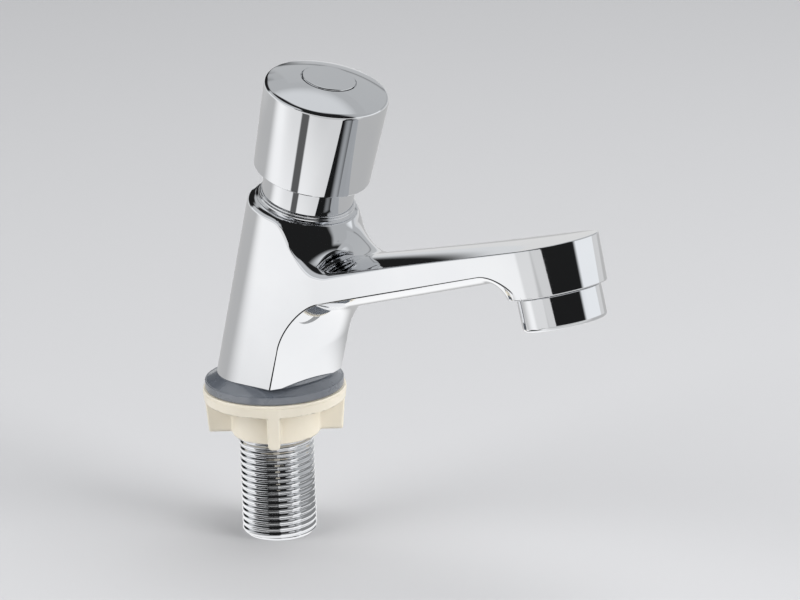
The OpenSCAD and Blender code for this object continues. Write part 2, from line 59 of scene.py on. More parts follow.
# Camera at the photograph's angle
PHOTO_AZIMUTH = 45.22
PHOTO_ELEVATION = 16.68
PHOTO_ROLL = 1.57
PHOTO_DISTANCE = 999.6
PHOTO_RIGHT = 35.0
PHOTO_UP = 23.57
PHOTO_LENS = 161.08

# Tail and fixing
SHANK_R = 20.955 / 2
SHANK_FIX_R = SHANK_R - 0.2
SHANK_LOW = -43.0
SHANK_TOP = 12.2
SHANK_BORE_R = 7.0
INLET_BORE_R = 7.5
INLET_BORE_LEN = 15.0
SHANK_CHAMFER = 1.2
THREAD_PITCH = 1.814
THREAD_DEPTH = 0.45
THREAD_START = -1.0
THREAD_RUN_OUT = 1.5
TOOTH_SHARPNESS = 1.4
THREAD_AROUND = 144
THREAD_ROWS = 14
GASKET_R = 19.4
GASKET_H = 2.4
GASKET_STEP = 0.5
BASE_Z = 4.2
NUT_R = 19.99
WASHER_LOW = -0.8
FLANGE_LOW = -3.6
NUT_LOW = -13.6
NUT_HUB_R = 12.2
NUT_BORE_R = SHANK_R + 0.05
NUT_EDGE = 0.2
NUT_BORE_EDGE = 0.3
NUT_GRID = 0.5
FLANGE_TAPER = 0.14
HUB_FILLET = 0.7
WING_HALF = 1.8
WING_REACH = 18.8
WING_LOW = NUT_LOW + 0.4
WING_TAPER = 0.014
WING_EDGE = 1.1
WING_END_OUT = 0.75
WING_END_TAPER = 0.085
WING_END_EDGE = 0.5
WING_FILLET = 0.6

# Body and spout
LEAN = math.radians(16.35)
AXIS_BACK = 0.9
COLUMN_R = 15.3
COLUMN_SHIFT = 0.8
PANEL_X = 12.0
PANEL_HALF = 13.7
PANEL_BULGE = 3.2
BODY_LEN = 58.3
SHOULDER = math.radians(45.0)
SHOULDER_R = 14.0
SHOULDER_END_R = 16.6
SHOULDER_ROUND = 0.6
REACH = 110.3
OUTLET_H = 39.6
RISE = math.radians(15.4)
BOSS_R = 13.09
BOSS_LOW_R = 12.75
BOSS_H = 12.5
BOSS_LIP = 0.35
RIM_Z = 8.9
TOP_Z = RIM_Z + BOSS_H
SIDE_ROOT = 7.7
SIDE_TIP = 5.0
BELLY = 3.4
CROWN = 3.0
ROOT_X = -86.2
BLOCK_X = -99.5
SPOUT_START = 2.0
CHIN_BLEND = 10.0
HEEL_BLEND = 6.5
SADDLE_BLEND = 10.0
FLARE = math.radians(21.0)
FLARE_S = 57.6
FLARE_OPEN = 0.02
FLARE_OPEN_X = 6.0
SIDE_FLOW = 1.0
CREASE_ROUND = 0.3
ROOT_EDGE_ROUND = 2.0
EDGE_FADE_X = -42.0
ROOT_EDGE_START = COLUMN_R - 5.0
ROOT_EDGE_FULL = COLUMN_R + 4.0
BODY_GRID = 0.6

# Cap, neck and valve room along the leaning axis
CAP_TOP = 95.59
CAP_LOW_R = 15.9
CAP_TOP_R = 16.99
CAP_RIM_S = 67.4
CAP_RIM_ROUND = 0.4
CAP_SKIRT = 1.3
CAP_SKIRT_H = 6.0
CAP_EDGE = 1.9
DOME_R = 43.2
DOME_EDGE_IN = 2.0
DOME_DISC_OUT = 0.7
DOME_STEPS = 10
DISC_RAISE = 0.45
DISC_R = 7.5
DISC_T = 1.2
DISC_GAP = 0.2
DISC_FLAT_IN = 3.0
DISC_DROP = 0.02
DISC_RIM_DROP = 0.06
NECK_R = 12.6
NECK_WALL = 2.0
NECK_TOP = 76.83
CAP_CEILING = 89.53
CAP_WEB = 2.4
CAP_BORE_R = NECK_R + 0.4
CAP_BOSS_R = 5.0
CAP_BOSS_LEN = 8.0
SCREW_ROOM_R = 1.55
SCREW_HEAD_ROOM_R = 3.6
STEM_R = 2.4
STEM_GAP = 0.05
BONNET_R = 11.6
SKIRT_LEN = 8.0
SKIRT_ROOM = 0.4
FLOOR_LOW = 56.3
FLOOR_TOP = 59.3
CHAMBER_R = 10.4
INLET_ROOM_R = 8.4
SEAT_S = 25.01
ROOM_LOW = 13.4
ROOM_OVERLAP = 1.0
LEDGE_R = 12.5
LEDGE_H = 1.1
COLLAR_TOP = 60.1
COLLAR_BEAD = 0.52
COLLAR_LIP = 0.42
COLLAR_R = NECK_R + 0.72
COLLAR_FOOT_R = SHOULDER_R - 0.05
COLLAR_FOOT_H = 0.42
COLLAR_BEAD_H = 0.6
COLLAR_LIP_OUT = 0.06
SPRING_R = 8.2
SPRING_WIRE_R = 0.7
SPRING_TURNS = 8
SPRING_STEPS = 40
SPRING_SIDES = 14

# Aerator above its mouth
RING_R = 10.99
RING_H = 8.6
AERATOR_THREAD_R = 9.98
AERATOR_BORE_R = 8.7
AERATOR_TOP = 14.18
LEDGE_Z = 15.6
MOUTH_R = 8.0
MOUTH_T = 0.8
GRILLE_LOW = 0.82
GRILLE_H = 2.5
GRILLE_BARS = 7
GRILLE_BAR = 0.5
GRILLE_RIM = 1.0
MESH_LOW = 3.34
MESH_WIRE = 0.3
MESH_WIRES = 15
MESH_RIM = 0.8
MESH_H = 0.5
INSERT_R = 8.68
INSERT_SEGMENTS = 96
OUTLET_ROOM_R = 7.0
OUTLET_ROOM_TOP = 19.0
CHANNEL_R = 2.2
CHANNEL_Z = 17.85

LEAN_FRAME = Matrix.Translation((-AXIS_BACK, 0, 0)) @ Matrix.Rotation(LEAN, 4, "Y")
OUTLET_FRAME = Matrix.Translation((REACH, 0, OUTLET_H)) @ Matrix.Rotation(-RISE, 4, "Y")
TAIL_FRAME = Matrix.Identity(4)


# Camera

def photo_camera():
    azimuth, tilt, roll = (math.radians(v) for v in (PHOTO_AZIMUTH, PHOTO_ELEVATION, PHOTO_ROLL))
    across = Vector((math.cos(azimuth), math.sin(azimuth), 0))
    toward = Vector((math.sin(azimuth), -math.cos(azimuth), 0))
    upward = Vector((0, 0, 1))
    back = toward * math.cos(tilt) + upward * math.sin(tilt)
    level_up = upward * math.cos(tilt) - toward * math.sin(tilt)
    right = across * math.cos(roll) - level_up * math.sin(roll)
    up = across * math.sin(roll) + level_up * math.cos(roll)
    place = (back * PHOTO_DISTANCE + right * PHOTO_RIGHT + up * PHOTO_UP) * MM
    data = bpy.data.cameras.new("photo_camera")
    data.lens = PHOTO_LENS
    data.sensor_width = 36.0
    data.clip_start = 0.05
    data.clip_end = 20.0
    camera = bpy.data.objects.new("photo_camera", data)
    turn = Matrix((right, up, back)).transposed()
    camera.matrix_world = Matrix.Translation(place) @ turn.to_4x4()
    bpy.context.scene.collection.objects.link(camera)
    bpy.context.scene.camera = camera


photo_camera()


# Pieces

def piece(name, body, slot, finish, points, faces, normals=None, node=None):
    """A finished piece from points in millimetres, riding on its body in place of its CAD node."""
    mesh = bpy.data.meshes.new(name)
    mesh.from_pydata((np.asarray(points) * MM).tolist(), [], [list(f) for f in faces])
    mesh.polygons.foreach_set("use_smooth", [True] * len(mesh.polygons))
    if normals is not None:
        mesh.normals_split_custom_set_from_vertices(np.asarray(normals).tolist())
    mesh.materials.append(finish)
    return place_piece(bpy.data.objects.new(name, mesh), body, node or name)


def place_piece(obj, body, node):
    if obj.name not in bpy.context.scene.collection.objects:
        bpy.context.scene.collection.objects.link(obj)
    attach(obj, body)
    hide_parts(node)
    return obj


def in_frame(matrix, points, normals):
    """Points and normals moved from a frame of the tap into the shared frame."""
    turn = np.array(matrix.to_3x3())
    shift = np.array(matrix.translation)
    return points @ turn.T + shift, normals @ turn.T


# Turned pieces: a closed outline of (radius, level, rounding), walked with the solid on its left

ROUND_STEPS = 6
# Most of a side that one corner's rounding may take
ROUND_ROOM = 0.48


def arc(centre_r, centre_z, radius, start, end, steps):
    """Smooth outline points on a circle, between two angles in degrees."""
    angles = np.radians(np.linspace(start, end, steps))
    return [(centre_r + radius * math.cos(a), centre_z + radius * math.sin(a)) for a in angles]


def rounded_outline(corners):
    """Outline points and their outward normals, with each corner rounded as it asks."""
    count = len(corners)
    points, normals = [], []
    for i, corner in enumerate(corners):
        here = np.array(corner[:2], float)
        before = np.array(corners[i - 1][:2], float)
        after = np.array(corners[(i + 1) % count][:2], float)
        arriving = (here - before) / np.linalg.norm(here - before)
        leaving = (after - here) / np.linalg.norm(after - here)
        if len(corner) == 2:
            mean = arriving + leaving
            points.append(here)
            normals.append(np.array((mean[1], -mean[0])) / np.linalg.norm(mean))
            continue
        turn = math.atan2(arriving[0] * leaving[1] - arriving[1] * leaving[0], arriving @ leaving)
        room = ROUND_ROOM * min(np.linalg.norm(here - before), np.linalg.norm(after - here))
        setback = min(corner[2] * abs(math.tan(turn / 2)), room)
        radius = setback / max(abs(math.tan(turn / 2)), 1e-9)
        side = math.copysign(1.0, turn)
        first = np.array((arriving[1], -arriving[0]))
        centre = here - arriving * setback - side * radius * first
        for k in range(ROUND_STEPS + 1):
            a = turn * k / ROUND_STEPS
            normal = np.array((first[0] * math.cos(a) - first[1] * math.sin(a),
                               first[0] * math.sin(a) + first[1] * math.cos(a)))
            points.append(centre + side * radius * normal)
            normals.append(normal)
    return np.array(points), np.array(normals)


def turned(corners, matrix, segments=160):
    """Points, faces and normals of a piece turned on a lathe; radius 0 makes a closed pole."""
    outline, slopes = rounded_outline(corners)
    points, normals, rows = [], [], []
    turns = 2 * np.pi * np.arange(segments) / segments
    for (r, z), (nr, nz) in zip(outline, slopes):
        if r < 1e-6:
            rows.append([len(points)] * segments)
            points.append((0.0, 0.0, z))
            normals.append((0.0, 0.0, math.copysign(1.0, nz)))
            continue
        rows.append(range(len(points), len(points) + segments))
        points.extend(zip(r * np.cos(turns), r * np.sin(turns), np.full(segments, z)))
        normals.extend(zip(nr * np.cos(turns), nr * np.sin(turns), np.full(segments, nz)))
    faces = []
    for i, row in enumerate(rows):
        upper = rows[(i + 1) % len(rows)]
        if row[0] == row[1] and upper[0] == upper[1]:
            continue
        for k in range(segments):
            n = (k + 1) % segments
            face = list(dict.fromkeys((row[k], row[n], upper[n], upper[k])))
            faces.append(face)
    placed = in_frame(matrix, np.array(points, float), np.array(normals, float))
    return placed[0], faces, placed[1]


# Cast and moulded shapes: signed distances on a grid, negative inside the material

def round_union(a, b, r):
    """Two solids joined with a hollow fillet."""
    near = np.hypot(np.maximum(r - a, 0), np.maximum(r - b, 0))
    return np.maximum(r, np.minimum(a, b)) - near


def round_cut(a, b, r):
    """What two solids share, with its outer edge rounded."""
    near = np.hypot(np.maximum(r + a, 0), np.maximum(r + b, 0))
    return np.minimum(-r, np.maximum(a, b)) + near


def soft_union(a, b, width):
    """Two nearly level walls joined without a seam."""
    mix = np.maximum(width - np.abs(a - b), 0) / width
    return np.minimum(a, b) - mix * mix * width / 4


def smooth_step(value, start, end):
    """0 before start, 1 after end, and a smooth run between them."""
    t = np.clip((value - start) / (end - start), 0, 1)
    return t * t * (3 - 2 * t)


def gradient(field, p, reach=0.004):
    """Slope of a field at points, by central differences."""
    slopes = []
    for axis in range(3):
        step = np.zeros(3)
        step[axis] = reach
        slopes.append((field(*(p + step).T) - field(*(p - step).T)) / (2 * reach))
    return np.stack(slopes, 1)


# Lines along an edge that the mesh follows: its middle, the ends of its rounding, and between
EDGE_LEVELS = (0.0, -1.0, 1.0, -0.5, 0.5)
LEAST_SLOPE = 0.25
# How near an edge its lines are cut, in shares of its rounding and of the grid's step
LIVE_ROUND = 0.35
LIVE_STEP = 0.3
# How close a point lies to move onto the middle line, in steps, or onto another, in millimetres
CLOSE_MIDDLE = 0.2
CLOSE_END = 0.06
# The longest move in one turn, in steps, and the least angle between two surfaces, as a share
MOST_MOVE = 0.6
LEAST_ANGLE = 0.01


def crossing_cells(values, axes, step):
    """Surface net of a field on a grid: one point in each cell that the surface crosses."""
    cells = tuple(n - 1 for n in values.shape)
    total = np.zeros((3, cells[0] * cells[1] * cells[2]))
    count = np.zeros(total.shape[1])
    edges = []
    for axis in range(3):
        low = np.take(values, range(cells[axis]), axis)
        high = np.take(values, range(1, cells[axis] + 1), axis)
        at = np.argwhere((low < 0) != (high < 0))
        start, end = low[tuple(at.T)], high[tuple(at.T)]
        place = np.stack([axes[k][at[:, k]] for k in range(3)], 1)
        place[:, axis] += step * start / (start - end)
        u, v = (axis + 1) % 3, (axis + 2) % 3
        inner = (at[:, u] > 0) & (at[:, v] > 0) & (at[:, u] < cells[u]) & (at[:, v] < cells[v])
        at, start, place = at[inner], start[inner], place[inner]
        ring = []
        for du, dv in ((1, 1), (0, 1), (0, 0), (1, 0)):
            cell = at.copy()
            cell[:, u] -= du
            cell[:, v] -= dv
            flat = np.ravel_multi_index(tuple(cell.T), cells)
            ring.append(flat)
            count += np.bincount(flat, minlength=count.size)
            for k in range(3):
                total[k] += np.bincount(flat, place[:, k], count.size)
        ring = np.stack(ring, 1)
        outside = start >= 0
        ring[outside] = ring[outside][:, ::-1]
        edges.append(ring)
    used = np.flatnonzero(count)
    number = np.zeros(count.size, int)
    number[used] = np.arange(used.size)
    return (total[:, used] / count[used]).T, number[np.concatenate(edges)]


def cast(edges_of, low, high, step):
    """Mesh of a cast shape: a surface net drawn onto the exact surface and cut along the lines
    where the rounding of each of its edges starts, peaks and ends."""
    axes = [np.arange(a, b + step, step) for a, b in zip(low, high)]
    grid = (axes[0][:, None, None], axes[1][None, :, None], axes[2][None, None, :])
    points, faces = crossing_cells(edges_of(*grid)[1], axes, step)
    points = drawn_on(edges_of, points, step, 5)
    faces = np.concatenate([faces[:, (0, 1, 2)], faces[:, (0, 2, 3)]])
    for number in range(len(edges_of(*points[:1].T)[0])):
        for level in EDGE_LEVELS:
            points, faces = cut_at_level(edges_of, number, level, points, faces, step)
    points, faces = welded(points, faces)
    slope = gradient(lambda *p: edges_of(*p)[1], points)
    return points, faces, slope / np.linalg.norm(slope, axis=1)[:, None]


def welded(points, faces):
    """Points that fell together made one, without the triangles that lost a corner by it."""
    _, first, number = np.unique(np.round(points, 4), axis=0, return_index=True, return_inverse=True)
    faces = number.reshape(-1)[faces]
    return points[first], faces[(faces != np.roll(faces, 1, 1)).all(1)]


def drawn_on(edges_of, points, step, turns):
    """Points moved onto the surface along its slope."""
    def solid(*p):
        return edges_of(*p)[1]

    for _ in range(turns):
        slope = gradient(solid, points)
        size = np.maximum((slope * slope).sum(1), LEAST_SLOPE)
        points = points + np.clip(-(solid(*points.T) / size)[:, None] * slope, -step, step)
    return points


def across_edge(edges_of, number, points):
    """Where points lie across an edge: -1 and 1 where its rounding ends, 0 at its middle."""
    first, second, rounding = edges_of(*points.T)[0][number]
    return (first - second) / rounding, np.maximum(first, second), rounding


def settled(edges_of, number, level, points, step):
    """Points moved onto one line along an edge."""
    for _ in range(4):
        f = edges_of(*points.T)[1]
        g = across_edge(edges_of, number, points)[0] - level
        df = gradient(lambda *p: edges_of(*p)[1], points)
        dg = gradient(lambda *p: across_edge(edges_of, number, np.stack(p, 1))[0], points)
        ff, gg, fg = (df * df).sum(1), (dg * dg).sum(1), (df * dg).sum(1)
        det = ff * gg - fg * fg
        sharp = det > LEAST_ANGLE * ff * gg
        det = np.where(sharp, det, 1)
        kf = np.where(sharp, (g * fg - f * gg) / det, -f / np.maximum(ff, LEAST_SLOPE))
        kg = np.where(sharp, (f * fg - g * ff) / det, 0)
        move = kf[:, None] * df + kg[:, None] * dg
        length = np.linalg.norm(move, axis=1)[:, None]
        points = points + move * np.minimum(1, MOST_MOVE * step / np.maximum(length, 1e-9))
    return points


def cut_at_level(edges_of, number, level, points, faces, step):
    """Triangles cut along one line of an edge; points close to the line move onto it."""
    place, outer, rounding = across_edge(edges_of, number, points)
    live = np.abs(outer) < LIVE_ROUND * rounding + LIVE_STEP * step
    side = np.sign(place - level)
    reach = CLOSE_END if level else CLOSE_MIDDLE * step
    close = np.flatnonzero(live & (np.abs(place - level) * rounding < reach))
    points = points.copy()
    points[close] = settled(edges_of, number, level, points[close], step)
    side[close] = 0
    ends = np.stack([faces, np.roll(faces, -1, 1)], 2)
    cut = (side[ends[..., 0]] * side[ends[..., 1]] < 0) & live[ends].all(2)
    count = cut.sum(1)
    low, high = ends.min(2), ends.max(2)
    keys, slot = np.unique((low * len(points) + high)[cut], return_inverse=True)
    i, j = keys // len(points), keys % len(points)
    t = ((level - place[i]) / (place[j] - place[i]))[:, None]
    fresh = settled(edges_of, number, level, points[i] * (1 - t) + points[j] * t, step)
    middle = np.full(cut.shape, -1)
    middle[cut] = len(points) + slot
    parts = [faces[count == 0]]
    for turn in range(3):
        order = [(turn + k) % 3 for k in range(3)]
        corner, between, is_cut = faces[:, order], middle[:, order], cut[:, order]
        one = (count == 1) & is_cut[:, 0]
        a, b, c = corner[one].T
        ab = between[one, 0]
        parts += [np.stack([a, ab, c], 1), np.stack([ab, b, c], 1)]
        two = (count == 2) & is_cut[:, 0] & is_cut[:, 2]
        a, b, c = corner[two].T
        ab, ca = between[two, 0], between[two, 2]
        parts += [np.stack([a, ab, ca], 1), np.stack([ab, b, c], 1), np.stack([ab, c, ca], 1)]
    return np.concatenate([points, fresh]), np.concatenate(parts)


# Tap body

def lean_coords(x, z):
    back = x + AXIS_BACK
    return back * math.cos(LEAN) - z * math.sin(LEAN), back * math.sin(LEAN) + z * math.cos(LEAN)


def outlet_coords(x, z):
    ahead, above = x - REACH, z - OUTLET_H
    return (ahead * math.cos(RISE) + above * math.sin(RISE),
            above * math.cos(RISE) - ahead * math.sin(RISE))


def bulge_radius(half, sag):
    return (half * half + sag * sag) / (2 * sag)


def hull_wall(x, y, radius, edge_x, edge_half):
    """Distance to a round wall that runs on forwards or backwards to an edge, in plan."""
    ahead = math.copysign(1.0, edge_x)
    reach = math.hypot(edge_x, edge_half)
    slant = math.atan2(abs(edge_x), edge_half) - math.acos(radius / reach)
    wide = np.abs(y)
    along = ahead * x * math.cos(slant) - wide * math.sin(slant)
    flat = ahead * x * math.sin(slant) + wide * math.cos(slant) - radius
    return np.where(along > 0, flat, np.hypot(x, y) - radius)


def body_edges(x, y, z):
    """The tap body: its edges, each as two surfaces and the rounding between them, and the solid."""
    lx, ls = lean_coords(x, z)
    ox, oz = outlet_coords(x, z)

    panel_r = bulge_radius(PANEL_HALF, PANEL_BULGE)
    panel = np.hypot(lx - (PANEL_X + PANEL_BULGE - panel_r), y) - panel_r
    belly_r = bulge_radius(PANEL_HALF, BELLY)
    side_slope = (SIDE_ROOT - SIDE_TIP) / (-BOSS_R - ROOT_X)
    belly_z = TOP_Z - SIDE_ROOT - BELLY + belly_r + side_slope * (ox - ROOT_X)
    belly = np.hypot(y, oz - belly_z) - belly_r
    boss_r = BOSS_LOW_R + (BOSS_R - BOSS_LOW_R) * np.clip((oz - RIM_Z) / BOSS_H, 0, 1)
    boss = np.hypot(ox, y) - boss_r - BOSS_LIP
    under = round_union(round_union(panel, belly, CHIN_BLEND), boss, HEEL_BLEND)

    column = hull_wall(lx + COLUMN_SHIFT, y, COLUMN_R, PANEL_X + COLUMN_SHIFT, PANEL_HALF)
    column = np.maximum(column, lx - 2 * COLUMN_R)
    spout = hull_wall(ox, y, BOSS_R, BLOCK_X, PANEL_HALF) + BOSS_R - boss_r
    spout = np.maximum(spout, SPOUT_START - lx)
    sides = soft_union(column, spout, SIDE_FLOW)

    fade = np.clip((BOSS_R - ox) / (BOSS_R - ROOT_X), 0, 1.2)
    crest = TOP_Z + CROWN * fade * (1 - (y / PANEL_HALF) ** 2)
    flare = np.hypot(lx + COLUMN_SHIFT, y) - COLUMN_R - (FLARE_S - ls) * math.tan(FLARE)
    flare = flare - FLARE_OPEN * np.minimum(lx - FLARE_OPEN_X, 0) ** 2
    upper = round_union(flare * math.cos(FLARE), oz - crest, SADDLE_BLEND)

    bore = np.hypot(x, y)
    axis_r = np.hypot(lx, y)
    mouth_r = np.hypot(ox, y)
    channel_low, channel_high = BLOCK_X + CHAMBER_R / 2, -OUTLET_ROOM_R / 2
    rooms = (
        np.maximum(bore - SHANK_FIX_R - SEAT_GAP, z - SHANK_TOP - SEAT_GAP),
        np.maximum(axis_r - INLET_ROOM_R, np.maximum(ROOM_LOW - ls, ls - SEAT_S - ROOM_OVERLAP)),
        np.maximum(axis_r - CHAMBER_R, SEAT_S - ls),
        np.maximum(axis_r - BONNET_R, BODY_LEN - SKIRT_LEN - SKIRT_ROOM - ls),
        np.maximum(axis_r - LEDGE_R, BODY_LEN - LEDGE_H - ls),
        np.maximum(mouth_r - AERATOR_THREAD_R - SEAT_GAP, oz - LEDGE_Z),
        np.maximum(mouth_r - OUTLET_ROOM_R,
                   np.maximum(oz - OUTLET_ROOM_TOP, LEDGE_Z - ROOM_OVERLAP - oz)),
        np.maximum(np.hypot(y, oz - CHANNEL_Z) - CHANNEL_R,
                   np.maximum(channel_low - ox, ox - channel_high)),
    )
    hollow = rooms[0]
    for room in rooms[1:]:
        hollow = np.minimum(hollow, room)
    rim = np.minimum(RIM_Z - oz, ox + 3 * BOSS_R)
    top = np.minimum(ls - BODY_LEN, 2 * COLUMN_R - lx)
    shoulder = (ls - BODY_LEN) * math.cos(SHOULDER) + (axis_r - SHOULDER_R) * math.sin(SHOULDER)
    shoulder = np.minimum(shoulder, SHOULDER_END_R - axis_r)
    root = smooth_step(lx, ROOT_EDGE_START, ROOT_EDGE_FULL) * smooth_step(ox, EDGE_FADE_X, ROOT_X)
    edge_round = CREASE_ROUND + (ROOT_EDGE_ROUND - CREASE_ROUND) * root

    edges = []
    shape = under
    for surface, rounding in ((sides, CREASE_ROUND), (upper, edge_round), (rim, CREASE_ROUND),
                              (BASE_Z - z, CREASE_ROUND), (top, CREASE_ROUND),
                              (shoulder, SHOULDER_ROUND)):
        edges.append((shape, surface, rounding))
        shape = round_cut(shape, surface, rounding)
    return edges, np.maximum(shape, -hollow)


def make_tap_body(finish):
    low = (-19.0, -16.4, BASE_Z - BODY_GRID)
    high = (REACH + 14.0, 16.4, 64.5)
    points, faces, normals = cast(body_edges, low, high, BODY_GRID)
    piece("cast_body", "tap", "chrome", finish, points, faces, normals, "tap_body")


# Tail and fixing

def make_tail(finish):
    """The tail with its helical thread, shallower where the fixing nut sits at rest."""
    around = THREAD_AROUND
    rows = int((SHANK_TOP - SHANK_LOW) / THREAD_PITCH * THREAD_ROWS)
    levels = np.linspace(SHANK_LOW, SHANK_TOP, rows)
    angles = 2 * np.pi * np.arange(around) / around

    def thread_r(angle, z):
        turn = z / THREAD_PITCH - angle / (2 * np.pi)
        tooth = 0.5 + 0.5 * np.cos(2 * np.pi * turn)
        crest = np.where(z < NUT_LOW, SHANK_R, SHANK_FIX_R)
        cut = THREAD_DEPTH * np.clip((THREAD_START - z) / THREAD_RUN_OUT, 0, 1)
        end = SHANK_R - SHANK_CHAMFER + (z - SHANK_LOW)
        return np.minimum(crest - cut * tooth ** TOOTH_SHARPNESS, end)

    grid_a, grid_z = np.meshgrid(angles, levels)
    r = thread_r(grid_a, grid_z)
    d = 1e-3
    slope_z = (thread_r(grid_a, grid_z + d) - thread_r(grid_a, grid_z - d)) / (2 * d)
    slope_a = (thread_r(grid_a + d, grid_z) - thread_r(grid_a - d, grid_z)) / (2 * d)
    c, s = np.cos(grid_a), np.sin(grid_a)
    points = np.stack([r * c, r * s, grid_z], -1).reshape(-1, 3)
    normals = np.stack([c + slope_a / r * s, s - slope_a / r * c, -slope_z], -1).reshape(-1, 3)
    socket_z = SHANK_LOW + INLET_BORE_LEN
    inner = [(SHANK_BORE_R, SHANK_TOP), (SHANK_BORE_R, socket_z), (INLET_BORE_R, socket_z),
             (INLET_BORE_R, SHANK_LOW)]
    for radius, level in inner:
        ring = np.stack([radius * np.cos(angles), radius * np.sin(angles), np.full(around, level)], 1)
        points = np.concatenate([points, ring])
        normals = np.concatenate([normals, -ring / radius * (1, 1, 0)])
    total = rows + len(inner)
    faces = []
    for i in range(total):
        j = (i + 1) % total
        for k in range(around):
            n = (k + 1) % around
            faces.append((i * around + k, i * around + n, j * around + n, j * around + k))
    normals = normals / np.linalg.norm(normals, axis=1)[:, None]
    piece("threaded_tail", "tap", "chrome", finish, points, faces, normals, "shank")


def nut_edges(x, y, z):
    """The fixing nut, with flange, hub and wings: its edges and the solid."""
    radius = np.hypot(x, y)
    taper = FLANGE_TAPER * np.clip(WASHER_LOW - z, 0, 3)
    flange = np.maximum(radius - NUT_R + taper, FLANGE_LOW - z)
    hub = np.maximum(radius - NUT_HUB_R, NUT_LOW - z)
    along = (np.abs(x) + np.abs(y)) * math.sqrt(0.5)
    across = np.abs(np.abs(x) - np.abs(y)) * math.sqrt(0.5)
    drop = FLANGE_LOW - z
    wing = round_cut(across - WING_HALF + WING_TAPER * drop, WING_LOW - z, WING_EDGE)
    wing_end = along - WING_REACH - WING_END_OUT + WING_END_TAPER * drop
    wing = round_cut(wing, wing_end, WING_END_EDGE)
    shape = round_union(round_union(flange, hub, HUB_FILLET), wing, WING_FILLET)
    top, bore = z - WASHER_LOW + SEAT_GAP, NUT_BORE_R - radius
    closed = round_cut(shape, top, NUT_EDGE)
    edges = [(shape, top, NUT_EDGE), (closed, bore, NUT_BORE_EDGE)]
    return edges, round_cut(closed, bore, NUT_BORE_EDGE)


def make_nut(finish):
    low = (-20.6, -20.6, NUT_LOW - 0.8)
    high = (20.6, 20.6, 0.0)
    points, faces, normals = cast(nut_edges, low, high, NUT_GRID)
    piece("winged_nut", "nut", "cream_plastic", finish, points, faces, normals, "fixing_nut")


def make_fixing(finishes):
    inner = SHANK_FIX_R + SEAT_GAP
    gasket = [(inner, 0, 0.1), (GASKET_R, 0, 0.5), (GASKET_R, GASKET_H, 0.4),
              (GASKET_R - GASKET_STEP, GASKET_H, 0.15), (COLUMN_R, BASE_Z, 0.3),
              (inner, BASE_Z, 0.1)]
    piece("base_seal", "tap", "grey_rubber", finishes["grey_rubber"],
          *turned(gasket, TAIL_FRAME), "base_gasket")
    washer = [(NUT_BORE_R, WASHER_LOW, 0.1), (NUT_R, WASHER_LOW, 0.1), (NUT_R, -SEAT_GAP, 0.2),
              (NUT_BORE_R, -SEAT_GAP, 0.1)]
    piece("slip_ring", "washer", "cream_plastic", finishes["cream_plastic"],
          *turned(washer, TAIL_FRAME), "slip_washer")


# Cap and neck

def make_cap(finish):
    dome_top = CAP_TOP - DISC_RAISE
    dome_s = dome_top - math.sqrt(DOME_R ** 2 - DISC_R ** 2)
    edge_s = dome_s + math.sqrt(DOME_R ** 2 - CAP_TOP_R ** 2)
    edge_angle = math.degrees(math.acos((CAP_TOP_R - DOME_EDGE_IN) / DOME_R))
    disc_angle = math.degrees(math.acos((DISC_R + DOME_DISC_OUT) / DOME_R))
    recess = CAP_TOP - DISC_T - SEAT_GAP
    recess_r = DISC_R + SEAT_GAP
    web_top = CAP_CEILING + CAP_WEB
    boss_low = CAP_CEILING - CAP_BOSS_LEN
    stem_r = STEM_R + SEAT_GAP
    skirt_r = CAP_LOW_R - CAP_SKIRT
    skirt_top = CAP_RIM_S + CAP_SKIRT_H
    outline = [(skirt_r, CAP_RIM_S, 0.3), (CAP_LOW_R, CAP_RIM_S, CAP_RIM_ROUND)]
    outline += [(CAP_TOP_R, edge_s, CAP_EDGE)]
    outline += arc(0, dome_s, DOME_R, edge_angle, disc_angle, DOME_STEPS)
    outline += [(recess_r, dome_top, 0.15), (recess_r, recess, 0.05), (SCREW_HEAD_ROOM_R, recess, 0.05),
                (SCREW_HEAD_ROOM_R, web_top, 0.05), (SCREW_ROOM_R, web_top, 0.05),
                (SCREW_ROOM_R, CAP_CEILING, 0.05), (stem_r, CAP_CEILING, 0.05), (stem_r, boss_low, 0.05),
                (CAP_BOSS_R, boss_low, 0.3), (CAP_BOSS_R, CAP_CEILING, 0.3),
                (CAP_BORE_R, CAP_CEILING, 0.3), (CAP_BORE_R, skirt_top, 0.3), (skirt_r, skirt_top, 0.3)]
    piece("cap_shell", "plunger", "chrome", finish, *turned(outline, LEAN_FRAME, 192), "push_cap")
    rim = DISC_R - DISC_GAP
    top = [(0, CAP_TOP - DISC_T), (rim, CAP_TOP - DISC_T, 0.1), (rim, CAP_TOP - DISC_RIM_DROP, 0.4),
           (rim - DISC_FLAT_IN, CAP_TOP - DISC_DROP), (0, CAP_TOP)]
    piece("cap_inset", "plunger", "chrome", finish, *turned(top, LEAN_FRAME), "cap_disc")


